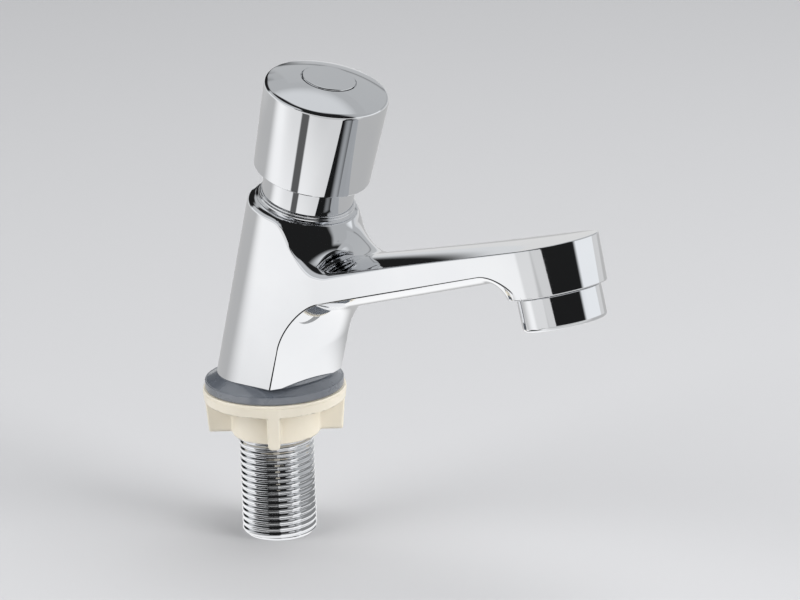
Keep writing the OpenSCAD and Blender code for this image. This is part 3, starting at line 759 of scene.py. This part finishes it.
def make_neck(finish):
    skirt_low = BODY_LEN - SKIRT_LEN
    skirt_in, skirt_out = CHAMBER_R + SEAT_GAP, BONNET_R - SEAT_GAP
    neck_in, stem_r = NECK_R - NECK_WALL, STEM_R + STEM_GAP
    neck = [(skirt_in, skirt_low, 0.1), (skirt_out, skirt_low, 0.3), (skirt_out, BODY_LEN, 0.1),
            (NECK_R, BODY_LEN, 0.1), (NECK_R, NECK_TOP, 0.4), (neck_in, NECK_TOP, 0.4),
            (neck_in, FLOOR_TOP, 0.4), (stem_r, FLOOR_TOP, 0.2), (stem_r, FLOOR_LOW, 0.2),
            (skirt_in, FLOOR_LOW, 0.2)]
    piece("neck", "tap", "chrome", finish, *turned(neck, LEAN_FRAME), "bonnet")
    inner = NECK_R + SEAT_GAP
    foot = BODY_LEN + SEAT_GAP
    collar = [(inner, foot, 0.02), (COLLAR_FOOT_R, foot, 0.02),
              (COLLAR_R, foot + COLLAR_FOOT_H, 0.05)]
    collar += arc(COLLAR_R - COLLAR_BEAD, foot + COLLAR_BEAD_H, COLLAR_BEAD, -15, 60, 8)
    collar += arc(inner + COLLAR_LIP_OUT, COLLAR_TOP - COLLAR_LIP, COLLAR_LIP, -50, 85, 12)
    collar += [(inner, COLLAR_TOP, 0.02)]
    piece("collar", "tap", "chrome", finish, *turned(collar, LEAN_FRAME), "collar_ring")


# Aerator

def make_aerator_ring(finish):
    ring = [(MOUTH_R, 0, 0.35), (RING_R, 0, 1.0), (RING_R, RING_H, 0.25),
            (AERATOR_THREAD_R, RING_H, 0.1), (AERATOR_THREAD_R, AERATOR_TOP, 0.3),
            (AERATOR_BORE_R, AERATOR_TOP, 0.1), (AERATOR_BORE_R, MOUTH_T, 0.1),
            (MOUTH_R, MOUTH_T, 0.1)]
    piece("aerator_ring", "tap", "chrome", finish, *turned(ring, OUTLET_FRAME), "aerator_housing")


# Nodes

VECTOR_MATHS = "ShaderNodeVectorMath"


def fill_in(tree, node, **sockets):
    """Links or values for a node's inputs, by socket name with underscores for spaces."""
    for label, source in sockets.items():
        socket = node.inputs[label.replace("_", " ")]
        if isinstance(source, bpy.types.NodeSocket):
            tree.links.new(source, socket)
        else:
            socket.default_value = source
    return node


def add_node(tree, kind, **sockets):
    return fill_in(tree, tree.nodes.new(kind), **sockets)


def maths(tree, operation, *values, kind="ShaderNodeMath", output=0):
    """What a maths node makes of sockets and plain values."""
    node = tree.nodes.new(kind)
    node.operation = operation
    for socket, value in zip(node.inputs, values):
        if isinstance(value, bpy.types.NodeSocket):
            tree.links.new(value, socket)
        else:
            socket.default_value = value
    return node.outputs[output]


def spread(tree, value, start, end, first, last, kind="LINEAR"):
    """A value carried from one range to another."""
    node = add_node(tree, "ShaderNodeMapRange", Value=value, From_Min=start, From_Max=end,
                    To_Min=first, To_Max=last)
    node.interpolation_type = kind
    return node.outputs[0]


# Geometry Nodes pieces

def node_tree(name, inputs):
    """A Geometry Nodes tree with named inputs; gives the tree and the sockets of its inputs."""
    tree = bpy.data.node_groups.new(name, "GeometryNodeTree")
    tree.interface.new_socket("Geometry", in_out="OUTPUT", socket_type="NodeSocketGeometry")
    for label, kind in inputs:
        tree.interface.new_socket(label, in_out="INPUT", socket_type=kind)
    return tree, tree.nodes.new("NodeGroupInput").outputs[:len(inputs)]


def finish_tree(tree, geometry, finish):
    realize = add_node(tree, "GeometryNodeRealizeInstances", Geometry=geometry)
    paint = add_node(tree, "GeometryNodeSetMaterial", Geometry=realize.outputs[0], Material=finish)
    add_node(tree, "NodeGroupOutput", Geometry=paint.outputs[0])


def from_tree(name, tree, values, matrix):
    """The tree's result as a plain mesh, in metres, moved into the frame it belongs to."""
    carrier = bpy.data.objects.new(name + "_maker", bpy.data.meshes.new(name + "_maker"))
    bpy.context.scene.collection.objects.link(carrier)
    modifier = carrier.modifiers.new("maker", "NODES")
    modifier.node_group = tree
    for item in tree.interface.items_tree:
        if item.in_out == "INPUT":
            modifier[item.identifier] = values[item.name]
    graph = bpy.context.evaluated_depsgraph_get()
    mesh = bpy.data.meshes.new_from_object(carrier.evaluated_get(graph))
    carrier.modifiers.remove(modifier)
    bpy.data.objects.remove(carrier)
    mesh.name = name
    scale = Matrix.Diagonal((MM, MM, MM, 1))
    mesh.transform(scale @ matrix)
    return mesh


def coil_tree(finish):
    """A wire wound along a helix, for the return spring."""
    tree, (turns, radius, length, wire_r) = node_tree("wound_coil", [
        ("Turns", "NodeSocketFloat"), ("Coil Radius", "NodeSocketFloat"),
        ("Length", "NodeSocketFloat"), ("Wire Radius", "NodeSocketFloat")])
    helix = add_node(tree, "GeometryNodeCurveSpiral", Resolution=SPRING_STEPS, Rotations=turns,
                     Start_Radius=radius, End_Radius=radius, Height=length)
    wire = add_node(tree, "GeometryNodeCurvePrimitiveCircle", Resolution=SPRING_SIDES, Radius=wire_r)
    swept = add_node(tree, "GeometryNodeCurveToMesh", Curve=helix.outputs[0],
                     Profile_Curve=wire.outputs[0], Fill_Caps=True)
    finish_tree(tree, swept.outputs[0], finish)
    return tree


def crossed_bars_tree(name, finish):
    """Two crossed rows of bars cut to a circle, for the grille and the wire mesh."""
    tree, (bars, spacing, span, width, depth) = node_tree(name, [
        ("Bars", "NodeSocketInt"), ("Spacing", "NodeSocketFloat"), ("Span Radius", "NodeSocketFloat"),
        ("Bar Width", "NodeSocketFloat"), ("Bar Depth", "NodeSocketFloat")])

    def vector(x, y, z):
        return add_node(tree, "ShaderNodeCombineXYZ", X=x, Y=y, Z=z).outputs[0]

    gaps = maths(tree, "SUBTRACT", bars, 1.0)
    first = maths(tree, "MULTIPLY", gaps, maths(tree, "MULTIPLY", spacing, -0.5))
    row = add_node(tree, "GeometryNodeMeshLine", Count=bars, Start_Location=vector(first, 0.0, 0.0),
                   Offset=vector(spacing, 0.0, 0.0))
    bar = add_node(tree, "GeometryNodeMeshCube", Size=vector(width, 2.0, depth))
    place = tree.nodes.new("GeometryNodeInputPosition")
    across = add_node(tree, "ShaderNodeSeparateXYZ", Vector=place.outputs[0]).outputs[0]
    square = maths(tree, "SUBTRACT", maths(tree, "MULTIPLY", span, span),
                   maths(tree, "MULTIPLY", across, across))
    rows = add_node(tree, "GeometryNodeInstanceOnPoints", Points=row.outputs[0], Instance=bar.outputs[0],
                    Scale=vector(1.0, maths(tree, "SQRT", square), 1.0))
    crossed = add_node(tree, "GeometryNodeTransform", Geometry=rows.outputs[0],
                       Rotation=(0.0, 0.0, math.pi / 2))
    both = add_node(tree, "GeometryNodeJoinGeometry", Geometry=rows.outputs[0])
    tree.links.new(crossed.outputs[0], both.inputs[0])
    finish_tree(tree, both.outputs[0], finish)
    return tree


def joined_piece(name, mesh, ring, body, slot, finish, node):
    """One piece from a Geometry Nodes mesh and the turned ring that holds it."""
    obj = piece(name, body, slot, finish, *ring, node)
    held = bpy.data.objects.new(name + "_inner", mesh)
    bpy.context.scene.collection.objects.link(held)
    with bpy.context.temp_override(active_object=obj, object=obj, selected_objects=[obj, held],
                                   selected_editable_objects=[obj, held]):
        bpy.ops.object.join()
    obj.data.set_sharp_from_angle(angle=math.radians(40))
    return obj


def make_aerator_inside(finishes):
    grille = from_tree("grille_bars", crossed_bars_tree("grille_bars", finishes["white_plastic"]), {
        "Bars": GRILLE_BARS, "Spacing": 2 * INSERT_R / (GRILLE_BARS + 1),
        "Span Radius": INSERT_R - GRILLE_RIM / 2, "Bar Width": GRILLE_BAR, "Bar Depth": GRILLE_H},
        OUTLET_FRAME @ Matrix.Translation((0, 0, GRILLE_LOW + GRILLE_H / 2)))
    inner, high = INSERT_R - GRILLE_RIM, GRILLE_LOW + GRILLE_H
    ring = [(inner, GRILLE_LOW, 0.2), (INSERT_R, GRILLE_LOW, 0.2), (INSERT_R, high, 0.1), (inner, high, 0.1)]
    joined_piece("stream_grille", grille, turned(ring, OUTLET_FRAME, INSERT_SEGMENTS), "tap",
                 "white_plastic", finishes["white_plastic"], "outlet_grille")
    wires = from_tree("mesh_wires", crossed_bars_tree("mesh_wires", finishes["steel"]), {
        "Bars": MESH_WIRES, "Spacing": 2 * INSERT_R / (MESH_WIRES + 1),
        "Span Radius": INSERT_R - MESH_RIM / 2, "Bar Width": MESH_WIRE, "Bar Depth": MESH_WIRE},
        OUTLET_FRAME @ Matrix.Translation((0, 0, MESH_LOW + MESH_H / 2)))
    inner, high = INSERT_R - MESH_RIM, MESH_LOW + MESH_H
    rim = [(inner, MESH_LOW, 0.1), (INSERT_R, MESH_LOW, 0.1), (INSERT_R, high, 0.1), (inner, high, 0.1)]
    joined_piece("wire_mesh", wires, turned(rim, OUTLET_FRAME, INSERT_SEGMENTS), "tap", "steel",
                 finishes["steel"], "aerator_mesh")


def make_spring(finish):
    low = FLOOR_TOP + SPRING_WIRE_R + SEAT_GAP
    high = CAP_CEILING - SPRING_WIRE_R - SEAT_GAP
    mesh = from_tree("cap_spring", coil_tree(finish), {
        "Turns": float(SPRING_TURNS), "Coil Radius": SPRING_R, "Length": high - low,
        "Wire Radius": SPRING_WIRE_R}, LEAN_FRAME @ Matrix.Translation((0, 0, low)))
    mesh.polygons.foreach_set("use_smooth", [True] * len(mesh.polygons))
    spring = place_piece(bpy.data.objects.new("cap_spring", mesh), "tap", "return_spring")
    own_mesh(spring)


# Finishes

def shader_group(name, inputs, outputs):
    """A shader group with numbers in and out; gives the group, its input sockets and its output node."""
    group = bpy.data.node_groups.new(name, "ShaderNodeTree")
    for label, value in inputs.items():
        socket = group.interface.new_socket(label, in_out="INPUT", socket_type="NodeSocketFloat")
        socket.default_value = value
    for label in outputs:
        group.interface.new_socket(label, in_out="OUTPUT", socket_type="NodeSocketFloat")
    return group, group.nodes.new("NodeGroupInput").outputs, group.nodes.new("NodeGroupOutput")


def noise(tree, place, scale, detail):
    return add_node(tree, "ShaderNodeTexNoise", Vector=place, Scale=scale, Detail=detail).outputs[0]


def handling_marks_group():
    """Faint wiping marks and water film: a tone, a roughness and a height for bump."""
    group, given, out = shader_group("handling_marks", {"Scale": 60.0, "Low": 0.03, "High": 0.1},
                                     ("Film", "Roughness", "Height"))
    place = group.nodes.new("ShaderNodeTexCoord").outputs["Object"]
    film = noise(group, place, given["Scale"], 5.0)
    wiped = add_node(group, "ShaderNodeMapping", Vector=place, Scale=(1.0, 9.0, 1.6),
                     Rotation=(0.3, 0.2, 0.5))
    hair = noise(group, wiped.outputs[0], maths(group, "MULTIPLY", given["Scale"], 14.0), 3.0)
    blend = maths(group, "ADD", maths(group, "MULTIPLY", film, 0.7), maths(group, "MULTIPLY", hair, 0.3))
    rough = spread(group, blend, 0.35, 0.68, given["Low"], given["High"])
    fill_in(group, out, Film=film, Roughness=rough, Height=hair)
    return group


def moulded_skin_group():
    """Grain of a moulded surface: a mottle between 0 and 1, a roughness and a height for bump."""
    group, given, out = shader_group("moulded_skin", {"Scale": 400.0, "Low": 0.4, "High": 0.6},
                                     ("Mottle", "Roughness", "Height"))
    place = group.nodes.new("ShaderNodeTexCoord").outputs["Object"]
    broad = noise(group, place, maths(group, "MULTIPLY", given["Scale"], 0.2), 4.0)
    grain = noise(group, place, given["Scale"], 6.0)
    rough = spread(group, broad, 0.3, 0.7, given["Low"], given["High"])
    fill_in(group, out, Mottle=broad, Roughness=rough, Height=grain)
    return group


# Each finish: name, darker tone, lighter tone, least and most roughness, scale of the grain, relief
METALS = {
    "chrome": ("chrome_plate", (0.78, 0.79, 0.81), (0.81, 0.82, 0.835), 0.02, 0.05, 60.0, 0.004),
    "steel": ("spring_steel", (0.46, 0.46, 0.47), (0.58, 0.58, 0.59), 0.22, 0.38, 300.0, 0.2),
    "brass": ("raw_brass", (0.62, 0.45, 0.18), (0.74, 0.57, 0.27), 0.2, 0.4, 200.0, 0.2),
}
MOULDED = {
    "grey_rubber": ("blue_grey_rubber", (0.115, 0.13, 0.155), (0.16, 0.175, 0.2), 0.22, 0.36, 700.0, 0.12),
    "black_rubber": ("seal_rubber", (0.012, 0.012, 0.013), (0.025, 0.025, 0.027), 0.45, 0.65, 900.0, 0.3),
    "cream_plastic": ("cream_nylon", (0.83, 0.765, 0.63), (0.88, 0.815, 0.69), 0.28, 0.42, 500.0, 0.06),
    "white_plastic": ("white_acetal", (0.74, 0.75, 0.76), (0.82, 0.83, 0.83), 0.3, 0.45, 600.0, 0.1),
    "dark_plastic": ("dark_acetal", (0.05, 0.05, 0.055), (0.09, 0.09, 0.095), 0.35, 0.5, 600.0, 0.15),
    "green_plastic": ("green_acetal", (0.03, 0.16, 0.07), (0.05, 0.23, 0.11), 0.35, 0.5, 600.0, 0.15),
}
METAL_RELIEF = 0.00002
MOULDED_RELIEF = 0.0001
# The gasket's wet-looking gloss
RUBBER_GLOSS = {"Coat_Weight": 0.8, "Coat_Roughness": 0.16, "Coat_IOR": 1.8}


def new_finish(name):
    material = bpy.data.materials.new(name)
    material.use_nodes = True
    return material, material.node_tree, material.node_tree.nodes["Principled BSDF"]


def toned(tree, factor, dark, light):
    """A colour that runs between two tones over the surface."""
    ramp = add_node(tree, "ShaderNodeValToRGB", Fac=factor)
    for element, position, tone in zip(ramp.color_ramp.elements, (0.3, 0.7), (dark, light)):
        element.position = position
        element.color = (*tone, 1)
    return ramp.outputs[0]


def surface_finish(group, relief_depth, values, **fixed):
    """A finish whose tone, roughness and relief come from a shader group."""
    name, dark, light, low, high, scale, relief = values
    material, tree, shader = new_finish(name)
    skin = tree.nodes.new("ShaderNodeGroup")
    skin.node_tree = group
    tone, rough, height = fill_in(tree, skin, Scale=scale, Low=low, High=high).outputs[:3]
    bump = add_node(tree, "ShaderNodeBump", Strength=relief, Distance=relief_depth, Height=height)
    fill_in(tree, shader, Base_Color=toned(tree, tone, dark, light), Roughness=rough,
            Normal=bump.outputs[0], **fixed)
    return material


def make_finishes():
    marks, skin = handling_marks_group(), moulded_skin_group()
    finishes = {}
    for slot, values in METALS.items():
        finishes[slot] = surface_finish(marks, METAL_RELIEF, values, Metallic=1.0)
    for slot, values in MOULDED.items():
        gloss = RUBBER_GLOSS if slot == "grey_rubber" else {}
        finishes[slot] = surface_finish(skin, MOULDED_RELIEF, values, **gloss)
    return finishes


def dress_inner_nodes(finishes):
    """The CAD pieces that stay get the finish of their own slot."""
    for part in frame["record"]["subparts"]:
        node = frame["nodes"][part["node"]]
        if node.hide_render:
            continue
        node.data.materials.clear()
        node.data.materials.append(finishes[part["material_slot"]])


# Studio: azimuths and elevations are degrees in the shared frame, seen from the object

FLOOR_Z = SHANK_LOW
FLOOR_RADIUS = 4.0
FLOOR_SIDES = 96
FLOOR_TONE = (0.54, 0.54, 0.55, 1)
# Soft panels that the chrome reflects: azimuth, elevation, half width, half height, edge, strength
STUDIO_PANELS = {
    "left_wall": (-133.0, -4.0, 36.0, 14.0, 4.0, 0.95),
    "left_front": (-122.0, 21.0, 42.0, 13.0, 4.0, 0.6),
    "right_wall": (43.0, -3.0, 30.0, 15.0, 5.0, 1.0),
    "right_high": (46.0, 24.0, 32.0, 32.0, 7.0, 0.5),
    "back_wall": (140.0, -6.0, 66.0, 9.5, 3.0, 0.74),
    "back_low": (94.0, 6.0, 44.0, 8.0, 3.0, 0.54),
    "back_high": (98.0, 33.0, 48.0, 19.0, 4.0, 0.54),
    "left_high": (120.0, 40.0, 30.0, 14.0, 4.0, 0.5),
    "overhead": (122.0, 65.0, 78.0, 28.0, 5.0, 0.52),
    "overhead_bright": (130.0, 82.0, 66.0, 30.0, 12.0, 0.78),
    "zenith": (0.0, 90.0, 200.0, 17.0, 10.0, 0.8),
}
DARK_ROOM = 0.015
ROOM_LIGHT = 0.42
ROOM_TONE = (0.96, 0.98, 1.0, 1)
# How bright polish sees the floor: near the tap and in front of it, far away, and elsewhere
FLOOR_LIT = 1.08
FLOOR_FAR = 0.74
FLOOR_DIM = 0.53
# Where these runs start and end, in metres from the tail's axis and along the way to the front
NEAR_RUN = (0.14, 0.09)
FAR_RUN = (0.6, 0.9)
FRONT_WAY = (0.6, -1.0, 0.0)
FRONT_RUN = (-0.05, 0.14)
# The front's light falls off with distance and to the right: start, end, share left
FRONT_FADE = (0.16, 0.25, 0.78)
RIGHT_FADE = (0.06, 0.15, 0.72)
# Soft shades on the floor that only polish sees, in millimetres and degrees:
# start x, azimuth, half width, middle radius, half length, edge, tone
FLOOR_SHADES = {
    "tail_front": (0.0, -78.0, 36.0, 65.0, 51.0, 3.0, 0.01),
    "cap_strip": (24.0, -85.0, 7.0, 215.0, 85.0, 1.5, 0.12),
}
# Metres of floor are read as this many radians by the panel group
SHADE_SCALE = 10.0
# Upright grey flags round the tail that only polish sees: first and last azimuth, tone
TAIL_FLAGS = {"flag_right": (-41.0, -9.0, 0.22), "flag_far_right": (12.0, 80.0, 0.26)}
FLAG_R = 24.0
FLAG_LOW = 0.3
FLAG_H = 20.0
FLAG_STEPS = 12
FLAG_TONE = (0.97, 0.99, 1.0, 1)
# Soft lamps that polish doesn't see: place, width, height, power
LAMPS = {
    "left_softbox": ((-0.5, -1.4, 0.9), 1.2, 1.2, 16.0),
    "top_softbox": ((0.2, 0.3, 1.6), 1.4, 1.4, 14.0),
    "right_softbox": ((1.5, 0.3, 0.8), 0.8, 1.2, 22.0),
}
LAMP_AIM = Vector((0.04, 0.0, 0.03))


def stage_piece(name, points, faces, material):
    """A stage piece from points in metres."""
    mesh = bpy.data.meshes.new(name)
    mesh.from_pydata(points, [], faces)
    mesh.materials.append(material)
    obj = bpy.data.objects.new(name, mesh)
    bpy.context.scene.collection.objects.link(obj)
    return obj


def make_flag(name, first, last, tone):
    """A curved flag that stands beside the tail, seen by polish alone."""
    material, tree, shader = new_finish(name)
    fill_in(tree, shader, Base_Color=(0, 0, 0, 1), Emission_Color=FLAG_TONE, Emission_Strength=tone)
    points, faces = [], []
    for i in range(FLAG_STEPS + 1):
        a = math.radians(first + (last - first) * i / FLAG_STEPS)
        for level in (FLOOR_Z + FLAG_LOW, FLOOR_Z + FLAG_H):
            points.append((FLAG_R * MM * math.cos(a), FLAG_R * MM * math.sin(a), level * MM))
        if i:
            faces.append((2 * i - 2, 2 * i, 2 * i + 1, 2 * i - 1))
    flag = stage_piece(name, points, faces, material)
    for ray in ("camera", "diffuse", "transmission", "volume_scatter", "shadow"):
        setattr(flag, "visible_" + ray, False)


def soft_panel_group():
    """A soft-edged panel on the studio's walls: 1 inside it, 0 outside."""
    group, given, out = shader_group("soft_panel", {
        "Azimuth": 0.0, "Elevation": 0.0, "Centre Azimuth": 0.0, "Centre Elevation": 0.0,
        "Half Width": 0.5, "Half Height": 0.5, "Edge": 0.1}, ("Mask",))

    def inside(apart, half):
        apart = maths(group, "ABSOLUTE", apart)
        start = maths(group, "ADD", given[half], given["Edge"])
        end = maths(group, "SUBTRACT", given[half], given["Edge"])
        return spread(group, apart, start, end, 0.0, 1.0, "SMOOTHSTEP")

    turn = maths(group, "SUBTRACT", given["Azimuth"], given["Centre Azimuth"])
    turn = maths(group, "WRAP", turn, math.pi, -math.pi)
    rise = maths(group, "SUBTRACT", given["Elevation"], given["Centre Elevation"])
    mask = maths(group, "MULTIPLY", inside(turn, "Half Width"), inside(rise, "Half Height"))
    fill_in(group, out, Mask=mask)
    return group


def panel_mask(tree, group, **sockets):
    panel = tree.nodes.new("ShaderNodeGroup")
    panel.node_tree = group
    return fill_in(tree, panel, **sockets).outputs["Mask"]


def floor_shade(tree, group, place, start, azimuth, half, middle, reach, edge):
    """Mask of one soft shade on the floor: a panel with the distance as its elevation."""
    flat = maths(tree, "MULTIPLY_ADD", place, (1.0, 1.0, 0.0), (-start * MM, 0.0, 0.0), kind=VECTOR_MATHS)
    x, y, _ = add_node(tree, "ShaderNodeSeparateXYZ", Vector=flat).outputs[:3]
    away = maths(tree, "LENGTH", flat, kind=VECTOR_MATHS, output="Value")
    return panel_mask(
        tree, group, Azimuth=maths(tree, "ARCTAN2", y, x),
        Elevation=maths(tree, "MULTIPLY", away, SHADE_SCALE), Centre_Azimuth=math.radians(azimuth),
        Half_Width=math.radians(half), Centre_Elevation=middle * MM * SHADE_SCALE,
        Half_Height=reach * MM * SHADE_SCALE, Edge=math.radians(edge))


def floor_material(panel_group):
    """A pale floor that polished metal sees as an evenly lit white sheet, with dimmer parts."""
    material, tree, shader = new_finish("studio_floor")
    fill_in(tree, shader, Base_Color=FLOOR_TONE, Roughness=0.8)
    place = tree.nodes.new("ShaderNodeTexCoord").outputs["Object"]
    away = maths(tree, "LENGTH", place, kind=VECTOR_MATHS, output="Value")
    forward = maths(tree, "DOT_PRODUCT", place, FRONT_WAY, kind=VECTOR_MATHS, output="Value")
    across = add_node(tree, "ShaderNodeSeparateXYZ", Vector=place).outputs["X"]

    def run(value, start, end, first, last):
        return spread(tree, value, start, end, first, last, "SMOOTHSTEP")

    near = run(away, *NEAR_RUN, FLOOR_DIM, FLOOR_LIT)
    far = run(away, *FAR_RUN, FLOOR_DIM, FLOOR_FAR)
    front = run(forward, *FRONT_RUN, FLOOR_DIM, FLOOR_LIT)
    for way, (start, end, left) in ((forward, FRONT_FADE), (across, RIGHT_FADE)):
        front = maths(tree, "MULTIPLY", front, run(way, start, end, 1.0, left))
    lit = maths(tree, "MAXIMUM", maths(tree, "MAXIMUM", near, far), front)
    for *shape, tone in FLOOR_SHADES.values():
        mask = floor_shade(tree, panel_group, place, *shape)
        lit = maths(tree, "MULTIPLY_ADD", mask, maths(tree, "SUBTRACT", tone, lit), lit)
    sheet = add_node(tree, "ShaderNodeEmission", Strength=lit)
    glossy = tree.nodes.new("ShaderNodeLightPath").outputs["Is Glossy Ray"]
    mix = tree.nodes.new("ShaderNodeMixShader")
    for socket, source in zip(mix.inputs, (glossy, shader.outputs[0], sheet.outputs[0])):
        tree.links.new(source, socket)
    fill_in(tree, tree.nodes["Material Output"], Surface=mix.outputs[0])
    return material


def make_floor(panel_group):
    turns = [2 * math.pi * i / FLOOR_SIDES for i in range(FLOOR_SIDES)]
    ring = [(FLOOR_RADIUS * math.cos(a), FLOOR_RADIUS * math.sin(a), FLOOR_Z * MM) for a in turns]
    stage_piece("studio_floor", ring, [tuple(range(FLOOR_SIDES))], floor_material(panel_group))
    for name, values in TAIL_FLAGS.items():
        make_flag(name, *values)


def make_world(panel_group):
    """Even soft light for the object, and soft panels in a dark room for what polish reflects."""
    world = bpy.data.worlds.new("studio")
    bpy.context.scene.world = world
    world.use_nodes = True
    tree = world.node_tree
    way = tree.nodes.new("ShaderNodeTexCoord").outputs["Generated"]
    x, y, z = add_node(tree, "ShaderNodeSeparateXYZ", Vector=way).outputs[:3]
    azimuth = maths(tree, "ARCTAN2", y, x)
    elevation = maths(tree, "ARCSINE", z)
    total = DARK_ROOM
    for *angles, strength in STUDIO_PANELS.values():
        turn, rise, half_width, half_height, edge = (math.radians(angle) for angle in angles)
        mask = panel_mask(tree, panel_group, Azimuth=azimuth, Elevation=elevation, Centre_Azimuth=turn,
                          Centre_Elevation=rise, Half_Width=half_width, Half_Height=half_height, Edge=edge)
        total = maths(tree, "MAXIMUM", maths(tree, "MULTIPLY", mask, strength), total)
    glossy = tree.nodes.new("ShaderNodeLightPath").outputs["Is Glossy Ray"]
    seen = add_node(tree, "ShaderNodeMix", Factor=glossy, A=ROOM_LIGHT, B=total)
    fill_in(tree, tree.nodes["Background"], Color=ROOM_TONE, Strength=seen.outputs[0])


def soft_lamp(name, place, width, height, power):
    data = bpy.data.lights.new(name, "AREA")
    data.shape = "RECTANGLE"
    data.size = width
    data.size_y = height
    data.energy = power
    lamp = bpy.data.objects.new(name, data)
    lamp.location = place
    lamp.rotation_mode = "QUATERNION"
    lamp.rotation_quaternion = (LAMP_AIM - Vector(place)).to_track_quat("-Z", "Y")
    lamp.visible_glossy = False
    bpy.context.scene.collection.objects.link(lamp)


def make_studio():
    panel_group = soft_panel_group()
    make_floor(panel_group)
    make_world(panel_group)
    for name, values in LAMPS.items():
        soft_lamp(name, *values)
    bpy.context.scene.view_settings.view_transform = "Standard"


# Assembly

FINISHES = make_finishes()
make_tap_body(FINISHES["chrome"])
make_tail(FINISHES["chrome"])
make_nut(FINISHES["cream_plastic"])
make_fixing(FINISHES)
make_cap(FINISHES["chrome"])
make_neck(FINISHES["chrome"])
make_aerator_ring(FINISHES["chrome"])
make_aerator_inside(FINISHES)
make_spring(FINISHES["steel"])
dress_inner_nodes(FINISHES)
make_studio()
